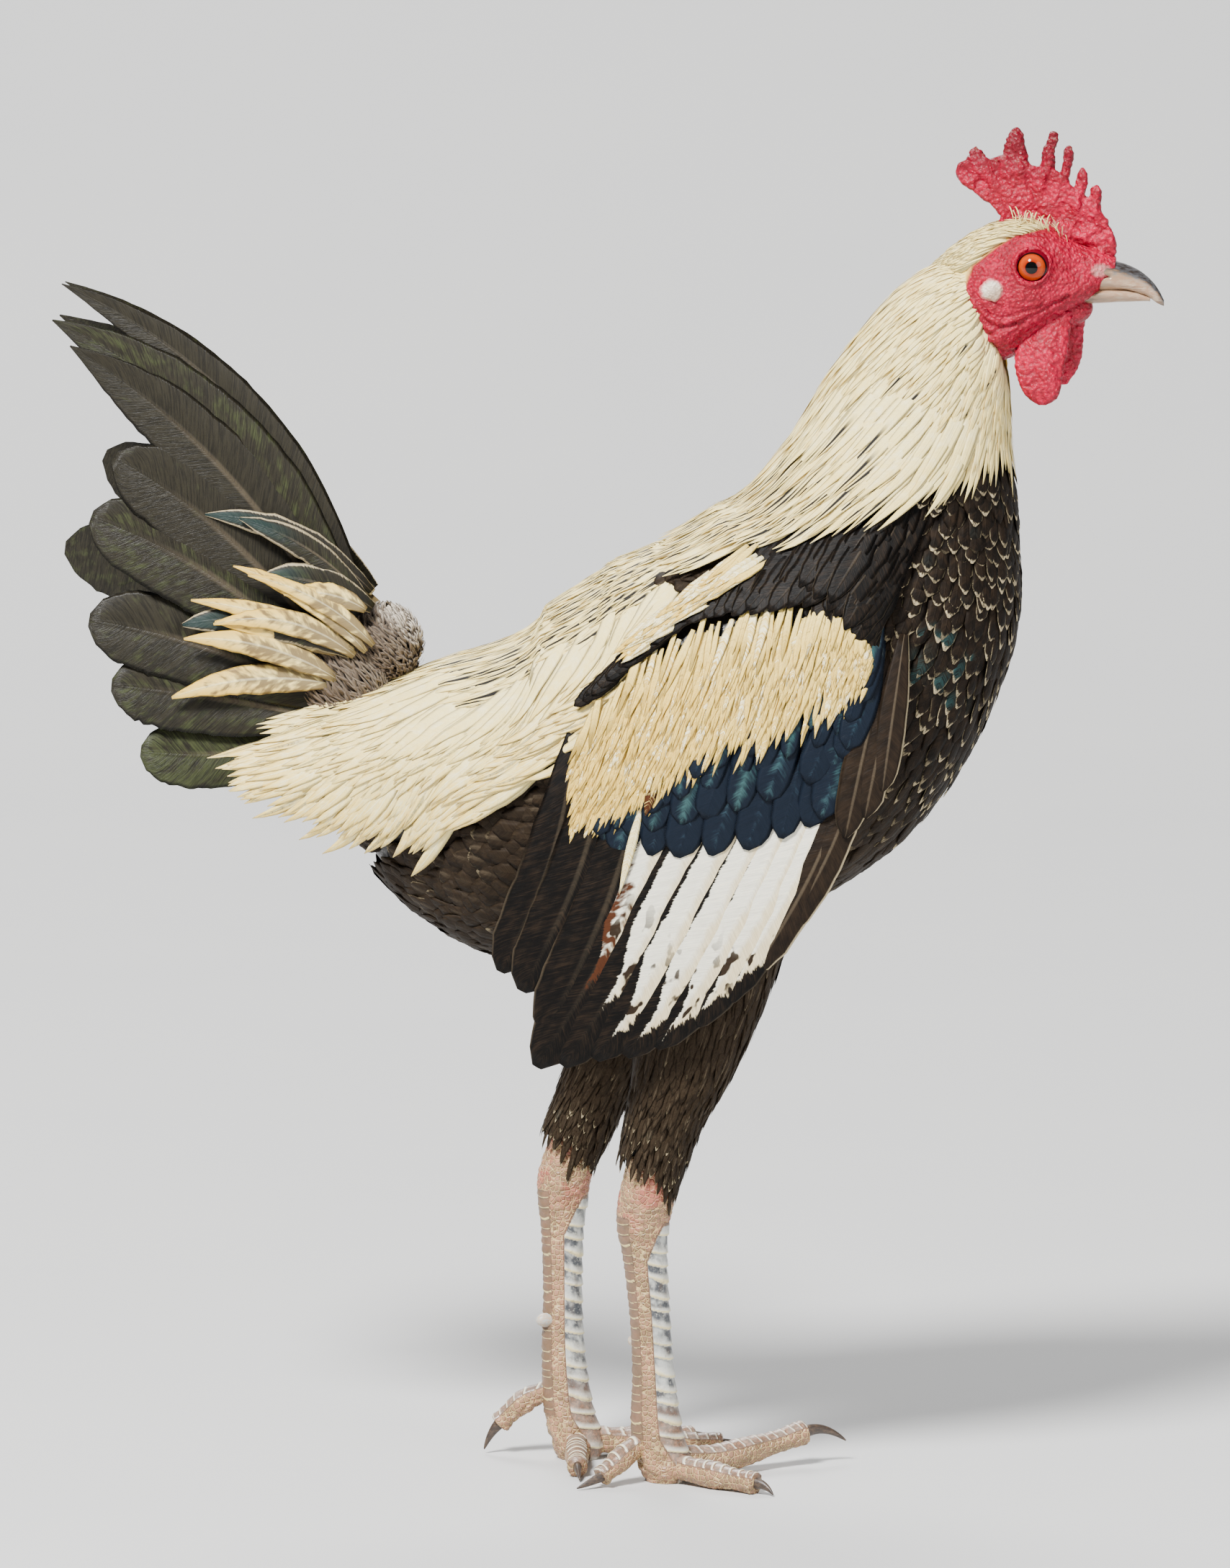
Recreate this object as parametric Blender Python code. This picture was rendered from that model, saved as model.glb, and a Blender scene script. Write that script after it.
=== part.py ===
"""A life-size game bantam cock, standing still: one object for each part of the bird.

Run with: blender --background --python part.py
The scene is in metres with +Z up. +X is the way the beak points and +Y is the bird's left side.
The origin is on the floor, under the middle of the bird's bounding box.
Sizes below are in millimetres and become metres where a mesh is made.
"""

import math

import bmesh
import bpy
import mathutils
import numpy as np

MM = 0.001
GAP = 0.3  # between parts that touch
SEED = 7
FEATHER = 0.6  # thickness of a feather in the solids
SIDES = (("right", -1), ("left", 1))

# The trunk, from the tail root to the skull, as sections square to its line in the bird's mid plane:
# x, z, half width, rise to the back, drop to the belly.
TRUNK = (
    (-62, 192, 16, 17, 25),
    (-40, 188, 28, 28, 43),
    (-12, 186, 39, 43.5, 51.5),
    (20, 193, 44, 53, 51),
    (47, 210, 43, 53, 51),
    (67, 234, 36, 45, 44),
    (78, 259, 27, 34.5, 33),
    (86, 282, 20, 29, 21.5),
    (94, 303, 15, 21, 14),
    (101, 316, 11, 14, 9),
)
NECK_PLANE = ((27, 245), (112, 256))  # the neck is above this line, seen from the side
SADDLE_PLANE = ((-72, 147), (27, 244))  # the saddle is above and behind this one
COAT = 2.5  # how far the cores of the neck and the saddle lie below the trunk's outline
CORE_SIDES = 14
CORE_STATIONS = 13

# Hackle: how the tips of its lowest tier run from the back of the neck to the throat, as shares of the
# trunk's length, then the steps up the neck to the head.
HACKLE_END = 0.415
HACKLE_RISE = 0.325
HACKLE_NAPE = 0.05  # how much further up the tips end along the middle of the back
HACKLE_TOP = 0.93
HACKLE_STEP = 0.145
HACKLE_LENGTH = 0.2
HACKLE_WIDTH = 20.0
HACKLE_SWEEP = 12  # degrees that a feather's tip lies nearer the back than its root

# Saddle: the surface that its feathers lie on, which runs on past the trunk over the tail's root.
SADDLE_LIE = (
    (-97, 182, 24.0, 19, 22),
    (-79, 184, 25.5, 20.5, 27),
    (-60, 187, 27.0, 22, 33),
    (-40, 188, 31.0, 29.5, 42),
    (-12, 186, 41.0, 45, 51),
    (20, 193, 46.0, 53.5, 52),
)
SADDLE_RUMP = (0.37, 0.66)  # where its core is as wide as this surface, to carry the rear feathers
# The tips of its lowest tier, from front to rear: place along it, angle from the back, then how far
# the root lies ahead in place and back in angle.
SADDLE_EDGE = (
    (0.84, 60, 0.09, 44),
    (0.65, 96, 0.15, 48),
    (0.48, 122, 0.17, 48),
    (0.25, 118, 0.23, 38),
    (0.06, 90, 0.36, 30),
    (0.04, 62, 0.40, 20),
)
SADDLE_TIERS = ((9, 15.0), (6, 15.0), (3, 15.0))  # count to a side, width, from the lowest tier
BACK_LOCKS = ((0.78, 0), (0.60, 0))
LOCK_TILT = 0.45
LOCK_LIFT = (-4.0, 1.0, 2.0, 2.6)  # off the surface, from root to tip
LOCK_SHAPE = (0.55, 1.0, 0.85, 0.12)  # share of the width

# The skull, as upright sections along x: x, z, half width, rise, drop.
SKULL = (
    (89, 315, 7.0, 9, 9),
    (95, 314, 11.5, 14.5, 16),
    (103, 315, 13.0, 17.5, 19),
    (111, 316, 12.6, 17.5, 17),
    (118, 316.5, 10.2, 14.5, 12),
    (124, 317, 7.4, 10, 8),
    (128, 317.5, 5.2, 6.5, 6),
)
EYE_AT = (112.6, 8.7, 322.5)
EYE_RADIUS = 5.0
LID_RADIUS = 4.3
LID_THICKNESS = 0.8
MOUTH_AT = (128.5, 0, 313.6)  # the corner of the mouth, as a thin lens cut into the head
MOUTH_SIZE = (8.5, 12.0, 0.5)
NOSTRIL_AT = (131.5, 4.3, 319.4)
NOSTRIL_SIZE = (2.0, 1.0, 0.8)
LOBE_AT = (102.3, 12.3, 315.5)
LOBE_SIZE = (3.9, 1.9, 3.2)

# The upper and the lower beak: x, z, half width, rise, drop.
BEAK_UPPER = (
    (127.9, 317.5, 4.9, 5.6, 3.4),
    (133, 317.4, 4.3, 4.8, 2.9),
    (138, 316.2, 3.4, 4.2, 2.3),
    (142.5, 314.2, 2.3, 3.1, 1.9),
    (146.0, 311.6, 1.1, 1.7, 1.6),
    (147.2, 309.6, 0.45, 0.7, 0.6),
)
BEAK_LOWER = (
    (127.9, 312.9, 4.3, 0.8, 2.7),
    (133, 312.9, 3.7, 1.1, 2.3),
    (138, 312.5, 2.7, 0.9, 1.7),
    (141.6, 311.9, 1.3, 0.4, 0.7),
)

COMB_HALF = 1.5
COMB_EDGE = 0.4
COMB_MIDDLE = (114.0, 331.0)  # where the folds of the comb run together
COMB_BASE = ((103, 330.5), (112, 329), (121, 325), (127, 319.5), (131.9, 320))
# Each point of the comb, from front to back: tip x, tip z, half width of the tip, notch behind it x, z.
COMB_FRONT = ((133.2, 327.2), (130.8, 332.9))
COMB_POINTS = (
    (128.5, 341.7, 0.8, 126.2, 339.9),
    (124.1, 346.3, 0.8, 121.2, 343.7),
    (120.2, 353.3, 0.8, 118.4, 351.3),
    (116.7, 356.1, 0.9, 110.7, 348.3),
    (106.1, 356.9, 1.3, 100.4, 349.8),
    (96.2, 351.7, 0.9, 93.8, 349.1),
)
COMB_BACK = ((92.4, 345.9), (93.1, 342.5), (96.0, 339.4), (99.3, 336.7), (103.3, 333.7))

WATTLE = (  # z, x, distance from the mid plane, half length, half thickness
    (309.0, 121.0, 4.2, 3.4, 1.6),
    (304.5, 120.6, 5.4, 5.4, 1.9),
    (298.5, 119.0, 6.8, 7.6, 2.1),
    (292.0, 117.4, 7.8, 7.8, 2.1),
    (287.0, 116.0, 8.3, 5.8, 1.8),
    (283.2, 115.2, 8.5, 2.0, 0.9),
)

# The folded wing lies this far off the trunk, and below the trunk it hangs on part of an ellipsoid:
# middle x, z, half length, half width, half height above and below the middle.
WING_PROUD = 4.0
WING_HANG = (20, 180, 150, 46, 100, 130)
# The arm and its coverts, from front to back: top x, z, bottom x, z, bulge of the line between them.
WING_ARM = (
    (75, 249, 72, 179, 12),
    (58, 251, 58, 177, 8),
    (38, 242, 42, 173, 5),
    (20, 230, 25, 170, 2),
    (4, 217, 8, 171, 0),
    (-9, 204, -8, 177, -2),
)
# Flight feathers of the folded wing, from the innermost: root x, z, tip x, z, half width.
WING_FEATHERS = (
    (1, 200, -19, 134.5, 7.5),
    (10, 198, -13, 130, 8.5),
    (17, 198, -14, 113, 7.5),
    (24, 198, -7, 114, 7.5),
    (31, 199, 1.5, 116, 7.5),
    (38, 200, 9.5, 117, 7.2),
    (45, 201, 17.5, 118.5, 7.0),
    (52, 202, 26, 123, 6.5),
    (58, 203, 34, 130, 5.5),
    (64, 204, 44, 141, 4.8),
)
FLIGHT_TILT = 0.08
# Tiers of coverts, from the bar up: place of the roots and the tips down the arm, count.
WING_TIERS = ((0.56, 1.04, 8), (0.30, 0.76, 5), (0.10, 0.46, 4))
COVERT_WIDTH = 104.0

TAIL_CORES = (((-69, 0, 207), (15, 11, 19)), ((-58, 0, 219), (10.5, 8.5, 11.5)))
# Tail feathers of one side, from the sickle down: root x, z, tip x, z, bulge, half width, y of both ends.
TAIL_FEATHERS = (
    (-64, 226, -143, 313.7, 13, 7.5, 2.0, 3.0),
    (-66, 222, -145, 304.5, 11, 10.0, 3.5, 6.5),
    (-68, 218, -138, 292.0, 8, 10.0, 4.5, 9.0),
    (-70, 214, -128, 269.0, 5, 11.0, 5.5, 11.5),
    (-71, 210, -134, 253.5, 5, 11.5, 6.5, 13.5),
    (-73, 205, -134.5, 226.5, 3, 11.0, 7.0, 15.0),
    (-74, 200, -128.5, 209.5, 1, 10.0, 7.0, 16.0),
    (-75, 194, -121, 192.0, -2, 9.0, 6.5, 15.0),
)
TAIL_LOOSE = ((4, (-144, 243)),)  # strayed tips of feathers on the left side
TAIL_COVERTS = (
    (-62, 232, -98.5, 253.8, 3, 5.0, 7.5, 11.5),
    (-61, 228, -86, 241.5, 2, 5.0, 9.0, 13.0),
    (-60, 220, -91, 236.0, 3, 4.2, 10.5, 15.0),
    (-70, 220, -111, 228.0, 3, 6.0, 9.0, 15.5),
    (-64, 216, -96.5, 221.0, 2, 5.2, 10.0, 17.0),
    (-71, 210, -112, 208.5, 2, 6.5, 9.5, 17.5),
)
TAIL_TILT = 0.2

# Thighs and shanks, from the top down: z, x, y from the mid plane, half length, half width.
THIGH_RIGHT = (
    (178, 36, 21, 24, 14),
    (161, 33, 22, 23, 14),
    (144, 30, 23, 20, 13),
    (126, 27, 23, 16.3, 11.5),
    (109, 22.5, 22.5, 13, 9.8),
    (97, 18, 21.8, 10.5, 8.4),
    (86, 14.8, 21, 9.1, 7.6),
)
THIGH_LEFT = (
    (178, 18, 21, 24, 14),
    (160, 14, 22, 21, 14),
    (142, 10, 23, 18, 13),
    (124, 5.5, 23, 14.5, 11.5),
    (108, 0, 22.5, 12, 9.8),
    (96, -5.8, 21.8, 10, 8.6),
    (86, -9.8, 21, 9.4, 7.8),
)
SHANK_RIGHT = (
    (84, 14.4, 20.7, 9.1, 7.6),
    (75, 12.8, 20.0, 7.8, 6.8),
    (68, 12.0, 19.5, 6.6, 5.8),
    (60, 12.5, 19.0, 5.6, 4.9),
    (44, 13.7, 18.0, 5.1, 4.5),
    (29, 14.4, 16.5, 5.3, 4.6),
    (14, 15.2, 15.5, 6.6, 5.8),
    (4.5, 17.5, 14.7, 7.0, 6.9),
    (0, 17.8, 14.5, 5.4, 5.4),
)
SHANK_LEFT = (
    (84, -10.4, 20.7, 9.1, 7.6),
    (75, -12.9, 20.0, 7.4, 6.8),
    (68, -13.4, 19.5, 6.4, 5.8),
    (60, -13.5, 19.0, 5.4, 4.9),
    (44, -13.3, 18.0, 5.0, 4.5),
    (29, -13.0, 16.5, 5.5, 4.6),
    (14, -11.6, 15.5, 6.4, 5.8),
    (4.5, -8.9, 14.7, 7.0, 6.9),
    (0, -8.7, 14.5, 5.4, 5.4),
)
SHANK_SIDES = 10
SCUTES = 9
SCUTE_SPAN = (0.14, 0.78)  # share of the way down the shank
SCUTE_EDGE = 0.008
SCUTE_STEP = 0.6
SPUR_PLACE = 0.56
SPUR = ((2.5, 2.3), (6.0, 2.3), (7.8, 1.8), (8.9, 0.9))  # distance from the shank's middle, half width

# The line of each toe, from the foot out, then the tip of its claw, and the half width at its root and end.
TOES_RIGHT = (
    ("middle", ((18, -14, 5.2), (30, -6, 4.6), (42, 3.5, 6.2), (52, 10.5, 8.8)), (62.5, 16.5, 5.6), 3.9, 2.9),
    ("outer", ((18, -16, 4.6), (27, -21.5, 3.8), (35.5, -26.5, 3.2), (43, -30.5, 2.7)), (47.8, -34, 0.6), 3.6, 2.7),
    ("inner", ((18, -13, 4.6), (23.5, -5, 3.8), (28.5, 1.5, 3.3), (32.5, 7, 2.7)), (38, 11.5, 0.6), 3.3, 2.5),
    ("hind", ((13, -16, 12), (8.5, -19.8, 8.4), (4.5, -23.6, 5), (1.8, -26.4, 2.9)), (-4.2, -31, 0.6), 3.1, 2.5),
)
TOES_LEFT = (
    ("middle", ((-8, 14.5, 4.8), (6, 17, 4), (18, 19.3, 3.4), (29, 21.4, 2.8)), (37.5, 23, 0.6), 3.8, 2.8),
    ("outer", ((-8, 15.5, 4.6), (3, 21.5, 3.8), (12, 27, 3.2), (20, 31.8, 2.7)), (26.6, 35.4, 0.6), 3.5, 2.6),
    ("inner", ((-9, 13, 4.6), (-8, 3, 3.8), (-6.8, -6, 3.2), (-6, -13, 2.7)), (-4.6, -19.8, 0.6), 3.3, 2.5),
    ("hind", ((-15, 16, 18.5), (-21, 16.8, 15.8), (-26.5, 17, 11.8), (-30, 17, 8.2)), (-34.2, 17, 1.2), 3, 2.6),
)
TOE_STATIONS = 7
TOE_SIDES = 8

STRAW = (0.78, 0.66, 0.42)
GOLD = (0.66, 0.47, 0.20)
BLACK = (0.025, 0.022, 0.020)
GREEN_BLACK = (0.035, 0.040, 0.032)
RED = (0.62, 0.035, 0.05)
IVORY = (0.80, 0.76, 0.66)
ORANGE = (0.70, 0.16, 0.02)
HORN = (0.46, 0.38, 0.28)
SLATE = (0.30, 0.29, 0.28)
CLAW_BROWN = (0.20, 0.15, 0.12)


def clear_scene():
    for thing in list(bpy.data.objects):
        bpy.data.objects.remove(thing)


def material(name, colour, roughness=0.7, metallic=0.0):
    made = bpy.data.materials.get(name) or bpy.data.materials.new(name)
    made.use_nodes = True
    shader = made.node_tree.nodes["Principled BSDF"]
    shader.inputs["Base Color"].default_value = (*colour, 1)
    shader.inputs["Roughness"].default_value = roughness
    shader.inputs["Metallic"].default_value = metallic
    return made


def unit(vectors):
    return vectors / np.linalg.norm(vectors, axis=-1, keepdims=True)


def along(rows, place):
    """The row at each place, 0 to 1, on a smooth curve through evenly placed rows."""
    rows = np.asarray(rows, float)
    last = len(rows) - 1
    x = np.clip(np.asarray(place, float), 0, 1) * last
    i = np.minimum(x.astype(int), last - 1)
    f = (x - i)[..., None]
    before, here = rows[np.maximum(i - 1, 0)], rows[i]
    after, later = rows[i + 1], rows[np.minimum(i + 2, last)]
    return 0.5 * (
        2 * here
        + (after - before) * f
        + (2 * before - 5 * here + 4 * after - later) * f**2
        + (3 * here - before - 3 * after + later) * f**3
    )


def on_tube(rows, place, angle, lift=0.0):
    """Points on the tube through rows; the angle runs from the back (0) over the left side (90 degrees)."""
    place, angle, lift = np.broadcast_arrays(place, angle, lift)
    row = along(rows, place)
    step = 0.004
    line = unit(along(rows, place + step)[..., :2] - along(rows, place - step)[..., :2])
    depth = np.where(np.cos(angle) > 0, row[..., 3], row[..., 4]) + lift
    reach = depth * np.cos(angle)
    x = row[..., 0] - line[..., 1] * reach
    y = (row[..., 2] + lift) * np.sin(angle)
    z = row[..., 1] + line[..., 0] * reach
    return np.stack([x, y, z], -1)


def new_object(name, mesh, finish=None, collection=None):
    made = bpy.data.objects.new(name, mesh)
    (collection or bpy.context.scene.collection).objects.link(made)
    if finish:
        mesh.materials.clear()
        mesh.materials.append(finish)
    return made


def through_rings(name, rings):
    """A closed solid through rings of points, where the second half of each ring mirrors the first."""
    rings = np.asarray(rings, float)
    stations, sides = rings.shape[:2]
    mesh = bpy.data.meshes.new(name)
    build = bmesh.new()
    corners = [[build.verts.new(point * MM) for point in ring] for ring in rings]
    for low, high in zip(corners, corners[1:]):
        for k in range(sides):
            a, b, c, d = low[k], low[(k + 1) % sides], high[(k + 1) % sides], high[k]
            pairs = ((a, b, c), (a, c, d)) if k < sides // 2 else ((a, b, d), (b, c, d))
            for three in pairs:
                build.faces.new(three)
    for cap in (corners[0], corners[-1]):
        build.faces.new(cap)
    bmesh.ops.triangulate(build, faces=[face for face in build.faces if len(face.verts) > 3])
    bmesh.ops.recalc_face_normals(build, faces=build.faces)
    build.to_mesh(mesh)
    build.free()
    return mesh


def vane(name, middle, across, out, half, grow=0.0):
    """A feather as a thin closed strip along its shaft, with its vane to both sides."""
    half = np.asarray(half, float)[:, None] + grow
    left, right = middle - across * half, middle + across * half
    thin = out * (FEATHER / 2 + grow)
    return through_rings(name, np.stack([left + thin, right + thin, right - thin, left - thin], 1))


def lock(name, rows, place, angle, width):
    """A feather lying on a tube's curved surface: place and angle from root to tip."""
    place, angle = np.asarray(place), np.asarray(angle)
    lift = np.array(LOCK_LIFT)
    arc = on_tube(rows, place, angle + 0.05) - on_tube(rows, place, angle - 0.05)
    girth = np.linalg.norm(arc, axis=1) / 0.1
    turn = np.array(LOCK_SHAPE) * width / 2 / girth
    left = on_tube(rows, place, angle - turn, lift - LOCK_TILT)
    right = on_tube(rows, place, angle + turn, lift + LOCK_TILT)
    line = np.gradient((left + right) / 2, axis=0)
    out = unit(np.cross(right - left, line))
    inside = along(rows, place)
    centre = np.stack([inside[:, 0], 0 * inside[:, 0], inside[:, 1]], -1)
    out = out * np.sign(((left - centre) * out).sum(1))[:, None]
    thin = out * FEATHER / 2
    return through_rings(name, np.stack([left + thin, right + thin, right - thin, left - thin], 1))


def tube_rings(rows, places, sides, lift=0.0):
    angles = np.arange(sides) * 2 * math.pi / sides
    return [on_tube(rows, np.full(sides, place), angles, lift) for place in places]


def upright_rings(rows, places, sides, grow=0.0):
    """Rings in upright planes across x, for the skull and the beak."""
    angles = np.arange(sides) * 2 * math.pi / sides
    rings = []
    for x, z, wide, rise, drop in along(rows, np.asarray(places)):
        depth = np.where(np.cos(angles) > 0, rise, drop) + grow
        y = (wide + grow) * np.sin(angles)
        rings.append(np.stack([np.full(sides, x), y, z + depth * np.cos(angles)], -1))
    return rings


def level_rings(rows, places, sides, side, grow=0.0):
    """Rings in level planes, for legs and wattles: rows of z, x, distance out, half length, half width."""
    angles = np.arange(sides) * 2 * math.pi / sides
    rings = []
    for z, x, out, long, wide in along(rows, np.asarray(places)):
        ring_x = x + (long + grow) * np.cos(angles)
        ring_y = side * out + (wide + grow) * np.sin(angles)
        rings.append(np.stack([ring_x, ring_y, np.full(sides, z)], -1))
    return rings


def helper(name, mesh):
    """A cutter, or a piece that is still to be joined: not part of the bird by itself."""
    made = new_object(name, mesh, collection=helpers())
    made.hide_render = True
    made.display_type = "WIRE"
    return made


def helpers():
    found = bpy.data.collections.get("cutters")
    if not found:
        found = bpy.data.collections.new("cutters")
        bpy.context.scene.collection.children.link(found)
    return found


def evaluated_mesh(thing):
    graph = bpy.context.evaluated_depsgraph_get()
    mesh = bpy.data.meshes.new_from_object(thing.evaluated_get(graph))
    mesh.transform(thing.matrix_world)
    return mesh


def largest_surface(mesh):
    """Keeps only the closed surface with the most volume."""
    build = bmesh.new()
    build.from_mesh(mesh)
    bmesh.ops.triangulate(build, faces=build.faces)
    left = set(build.faces)
    groups = []
    while left:
        todo = [left.pop()]
        group = []
        while todo:
            face = todo.pop()
            group.append(face)
            for edge in face.edges:
                for other in edge.link_faces:
                    if other in left:
                        left.remove(other)
                        todo.append(other)
        groups.append(group)

    def volume(group):
        corners = [[loop.vert.co for loop in face.loops] for face in group]
        return abs(sum(a.dot(b.cross(c)) for a, b, c in corners))

    groups.sort(key=volume, reverse=True)
    for group in groups[1:]:
        bmesh.ops.delete(build, geom=group, context="FACES")
    build.to_mesh(mesh)
    build.free()
    return mesh


def joined(name, meshes, solver="MANIFOLD"):
    """One mesh from several closed ones, by one Boolean union on a collection."""
    if len(meshes) == 1:
        return meshes[0]
    group = bpy.data.collections.new(name + "_pieces")
    bpy.context.scene.collection.children.link(group)
    core = new_object(name + "_core", meshes[0])
    for number, mesh in enumerate(meshes[1:]):
        new_object(f"{name}_piece_{number}", mesh, collection=group)
    union = core.modifiers.new("join", "BOOLEAN")
    union.operation = "UNION"
    union.operand_type = "COLLECTION"
    union.collection = group
    union.solver = solver
    mesh = evaluated_mesh(core)
    for thing in [core, *group.objects]:
        bpy.data.objects.remove(thing)
    bpy.data.collections.remove(group)
    return mesh


def cut_clear(name, mesh, cutters, solver="EXACT"):
    """The mesh less each cutter mesh, with its largest surface kept."""
    thing = new_object(name + "_uncut", mesh)
    tools = [helper(f"{name}_cutter_{number}", cutter) for number, cutter in enumerate(cutters)]
    for tool in tools:
        cut = thing.modifiers.new(tool.name, "BOOLEAN")
        cut.operation = "DIFFERENCE"
        cut.object = tool
        cut.solver = solver
    mesh = largest_surface(evaluated_mesh(thing))
    for thing in [thing, *tools]:
        bpy.data.objects.remove(thing)
    return mesh


def node(name, meshes, finish, cutters=(), solver="EXACT"):
    """One part of the bird: its pieces joined, then cut clear of what it touches."""
    mesh = joined(name, meshes)
    mesh = cut_clear(name, mesh, cutters, solver) if cutters else mesh
    mesh.name = name
    mesh.shade_smooth()
    mesh.set_sharp_from_angle(angle=math.radians(35))
    return new_object(name, mesh, finish)


def half_space(name, line, above, back=GAP / 2):
    """A large box on one side of a plane that shows as a line from the side, drawn back a little."""
    (x0, z0), (x1, z1) = line
    long, wide = 500.0, 300.0
    tangent = unit(np.array([x1 - x0, 0.0, z1 - z0]))
    normal = np.array([-tangent[2], 0.0, tangent[0]]) * (1 if above else -1)
    start = np.array([x0, 0.0, z0]) - normal * back
    across = np.array([0.0, wide / 2, 0.0])
    near = [start - tangent * long + across, start + tangent * long + across]
    near += [start + tangent * long - across, start - tangent * long - across]
    return through_rings(name, [near, [point + normal * long for point in near]])


def trunk_mesh(name, lift=0.0, sides=18, stations=16):
    return through_rings(name, tube_rings(TRUNK, np.linspace(0, 1, stations), sides, lift))


def skull_mesh(name, grow=0.0):
    return through_rings(name, upright_rings(SKULL, np.linspace(0, 1, 9), 14, grow))


def ball(name, at, sizes, segments=12, rings=6):
    mesh = bpy.data.meshes.new(name)
    build = bmesh.new()
    bmesh.ops.create_uvsphere(build, u_segments=segments, v_segments=rings, radius=1)
    for vertex in build.verts:
        vertex.co = [(centre + size * value) * MM for centre, size, value in zip(at, sizes, vertex.co)]
    build.to_mesh(mesh)
    build.free()
    return mesh


def torso_mesh(name, grow=0.0):
    """The trunk below the neck and ahead of the saddle."""
    back = GAP / 2 - grow
    cutters = [half_space("torso_top", NECK_PLANE, True, back)]
    cutters.append(half_space("torso_rear", SADDLE_PLANE, True, back))
    return cut_clear(name, trunk_mesh(name, grow), cutters)


def make_torso():
    node("torso", [torso_mesh("torso")], material("breast_black", BLACK))


def hackle_locks():
    """Tiers of hackle feathers, from the shoulders up to the head."""
    draw = np.random.default_rng(SEED)
    stations = np.linspace(0, 1, len(LOCK_LIFT))
    locks = []
    tier = 0
    while HACKLE_END + tier * HACKLE_STEP < HACKLE_TOP:
        girth = 2 * math.pi * along(TRUNK, HACKLE_END + tier * HACKLE_STEP + 0.1)[2]
        count = max(7, round(girth / HACKLE_WIDTH))
        for number in range(count):
            angle = (number + 0.5 * (tier % 2)) / count * 2 * math.pi
            angle = (angle + math.pi) % (2 * math.pi) - math.pi
            tip = HACKLE_END + HACKLE_RISE * math.sin(abs(angle) / 2) ** 1.3 + tier * HACKLE_STEP
            tip += HACKLE_NAPE * max(math.cos(angle), 0) ** 3 + draw.uniform(-0.008, 0.008)
            if tip > HACKLE_TOP - 0.03:
                continue
            root = min(tip + HACKLE_LENGTH, 0.985)
            sweep = math.radians(HACKLE_SWEEP) * math.sin(angle)
            place = root + (tip - root) * stations
            name = f"hackle_{tier}_{number}"
            locks.append(lock(name, TRUNK, place, angle + sweep * (1 - stations), girth / count * 1.12))
        tier += 1
    return locks


def saddle_locks():
    """Tiers of saddle feathers to both sides, and a few along the back."""
    draw = np.random.default_rng(SEED + 1)
    stations = np.linspace(0, 1, len(LOCK_LIFT))
    locks = []
    for name, side in SIDES:
        for tier, (count, width) in enumerate(SADDLE_TIERS):
            for number in range(count):
                place, angle, ahead, back = along(SADDLE_EDGE, (number + 0.5 * (tier % 2)) / (count - 0.5))
                place, angle = place + 0.55 * tier * ahead, angle - 0.55 * tier * back + draw.uniform(-2, 2)
                places = place + ahead * (1 - stations)
                angles = np.radians(angle - back * (1 - stations)) * side
                if places[0] < 0.99:
                    locks.append(lock(f"saddle_{name}_{tier}_{number}", SADDLE_LIE, places, angles, width))
    for number, (place, angle) in enumerate(BACK_LOCKS):
        places = place + 0.17 * (1 - stations)
        angles = np.full(len(places), float(angle))
        locks.append(lock(f"back_{number}", SADDLE_LIE, places, angles, SADDLE_TIERS[0][1]))
    return locks


def make_neck():
    core = trunk_mesh("neck", -COAT, CORE_SIDES, CORE_STATIONS)
    core = cut_clear("neck", core, [half_space("neck_below", NECK_PLANE, False)])
    wings = [wing_arm_mesh(f"neck_wing_{name}", side, GAP) for name, side in SIDES]
    cutters = [torso_mesh("neck_torso", GAP), skull_mesh("neck_skull", GAP), *wings]
    node("neck", [core, *hackle_locks()], material("hackle_straw", STRAW), cutters)


def make_saddle():
    core = trunk_mesh("saddle", -COAT, CORE_SIDES, CORE_STATIONS)
    rings = tube_rings(SADDLE_LIE, np.linspace(*SADDLE_RUMP, 4), CORE_SIDES, -2 * COAT)
    core = joined("saddle", [core, through_rings("saddle_rump", rings)])
    front = half_space("saddle_front", NECK_PLANE, True)
    core = cut_clear("saddle", core, [front, half_space("saddle_below", SADDLE_PLANE, False)])
    cutters = [torso_mesh("saddle_torso", GAP), half_space("saddle_neck", NECK_PLANE, True)]
    cutters += [tail_core("saddle_tail", number, GAP) for number in range(len(TAIL_CORES))]
    for name, side in SIDES:
        cutters.append(wing_arm_mesh(f"saddle_wing_{name}", side, GAP))
        cutters += [flight_mesh("saddle_flight", side, feather, GAP) for feather in WING_FEATHERS[:2]]
    node("saddle", [core, *saddle_locks()], material("saddle_straw", STRAW), cutters)


def eye_centre(side):
    return (EYE_AT[0], side * EYE_AT[1], EYE_AT[2])


def torus(name, at, major, minor, normal_side, around=12, about=4):
    rings = []
    for turn in np.arange(around) * 2 * math.pi / around:
        ring = []
        for bend in np.arange(about) * 2 * math.pi / about:
            reach = major + minor * math.cos(bend)
            x, z = at[0] + reach * math.cos(turn), at[2] + reach * math.sin(turn)
            ring.append((x, at[1] + normal_side * minor * math.sin(bend), z))
        rings.append(ring)
    mesh = bpy.data.meshes.new(name)
    build = bmesh.new()
    corners = [[build.verts.new(np.array(point) * MM) for point in ring] for ring in rings]
    for low, high in zip(corners, corners[1:] + corners[:1]):
        for k in range(about):
            build.faces.new((low[k], low[(k + 1) % about], high[(k + 1) % about], high[k]))
    bmesh.ops.recalc_face_normals(build, faces=build.faces)
    build.to_mesh(mesh)
    build.free()
    return mesh


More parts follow.
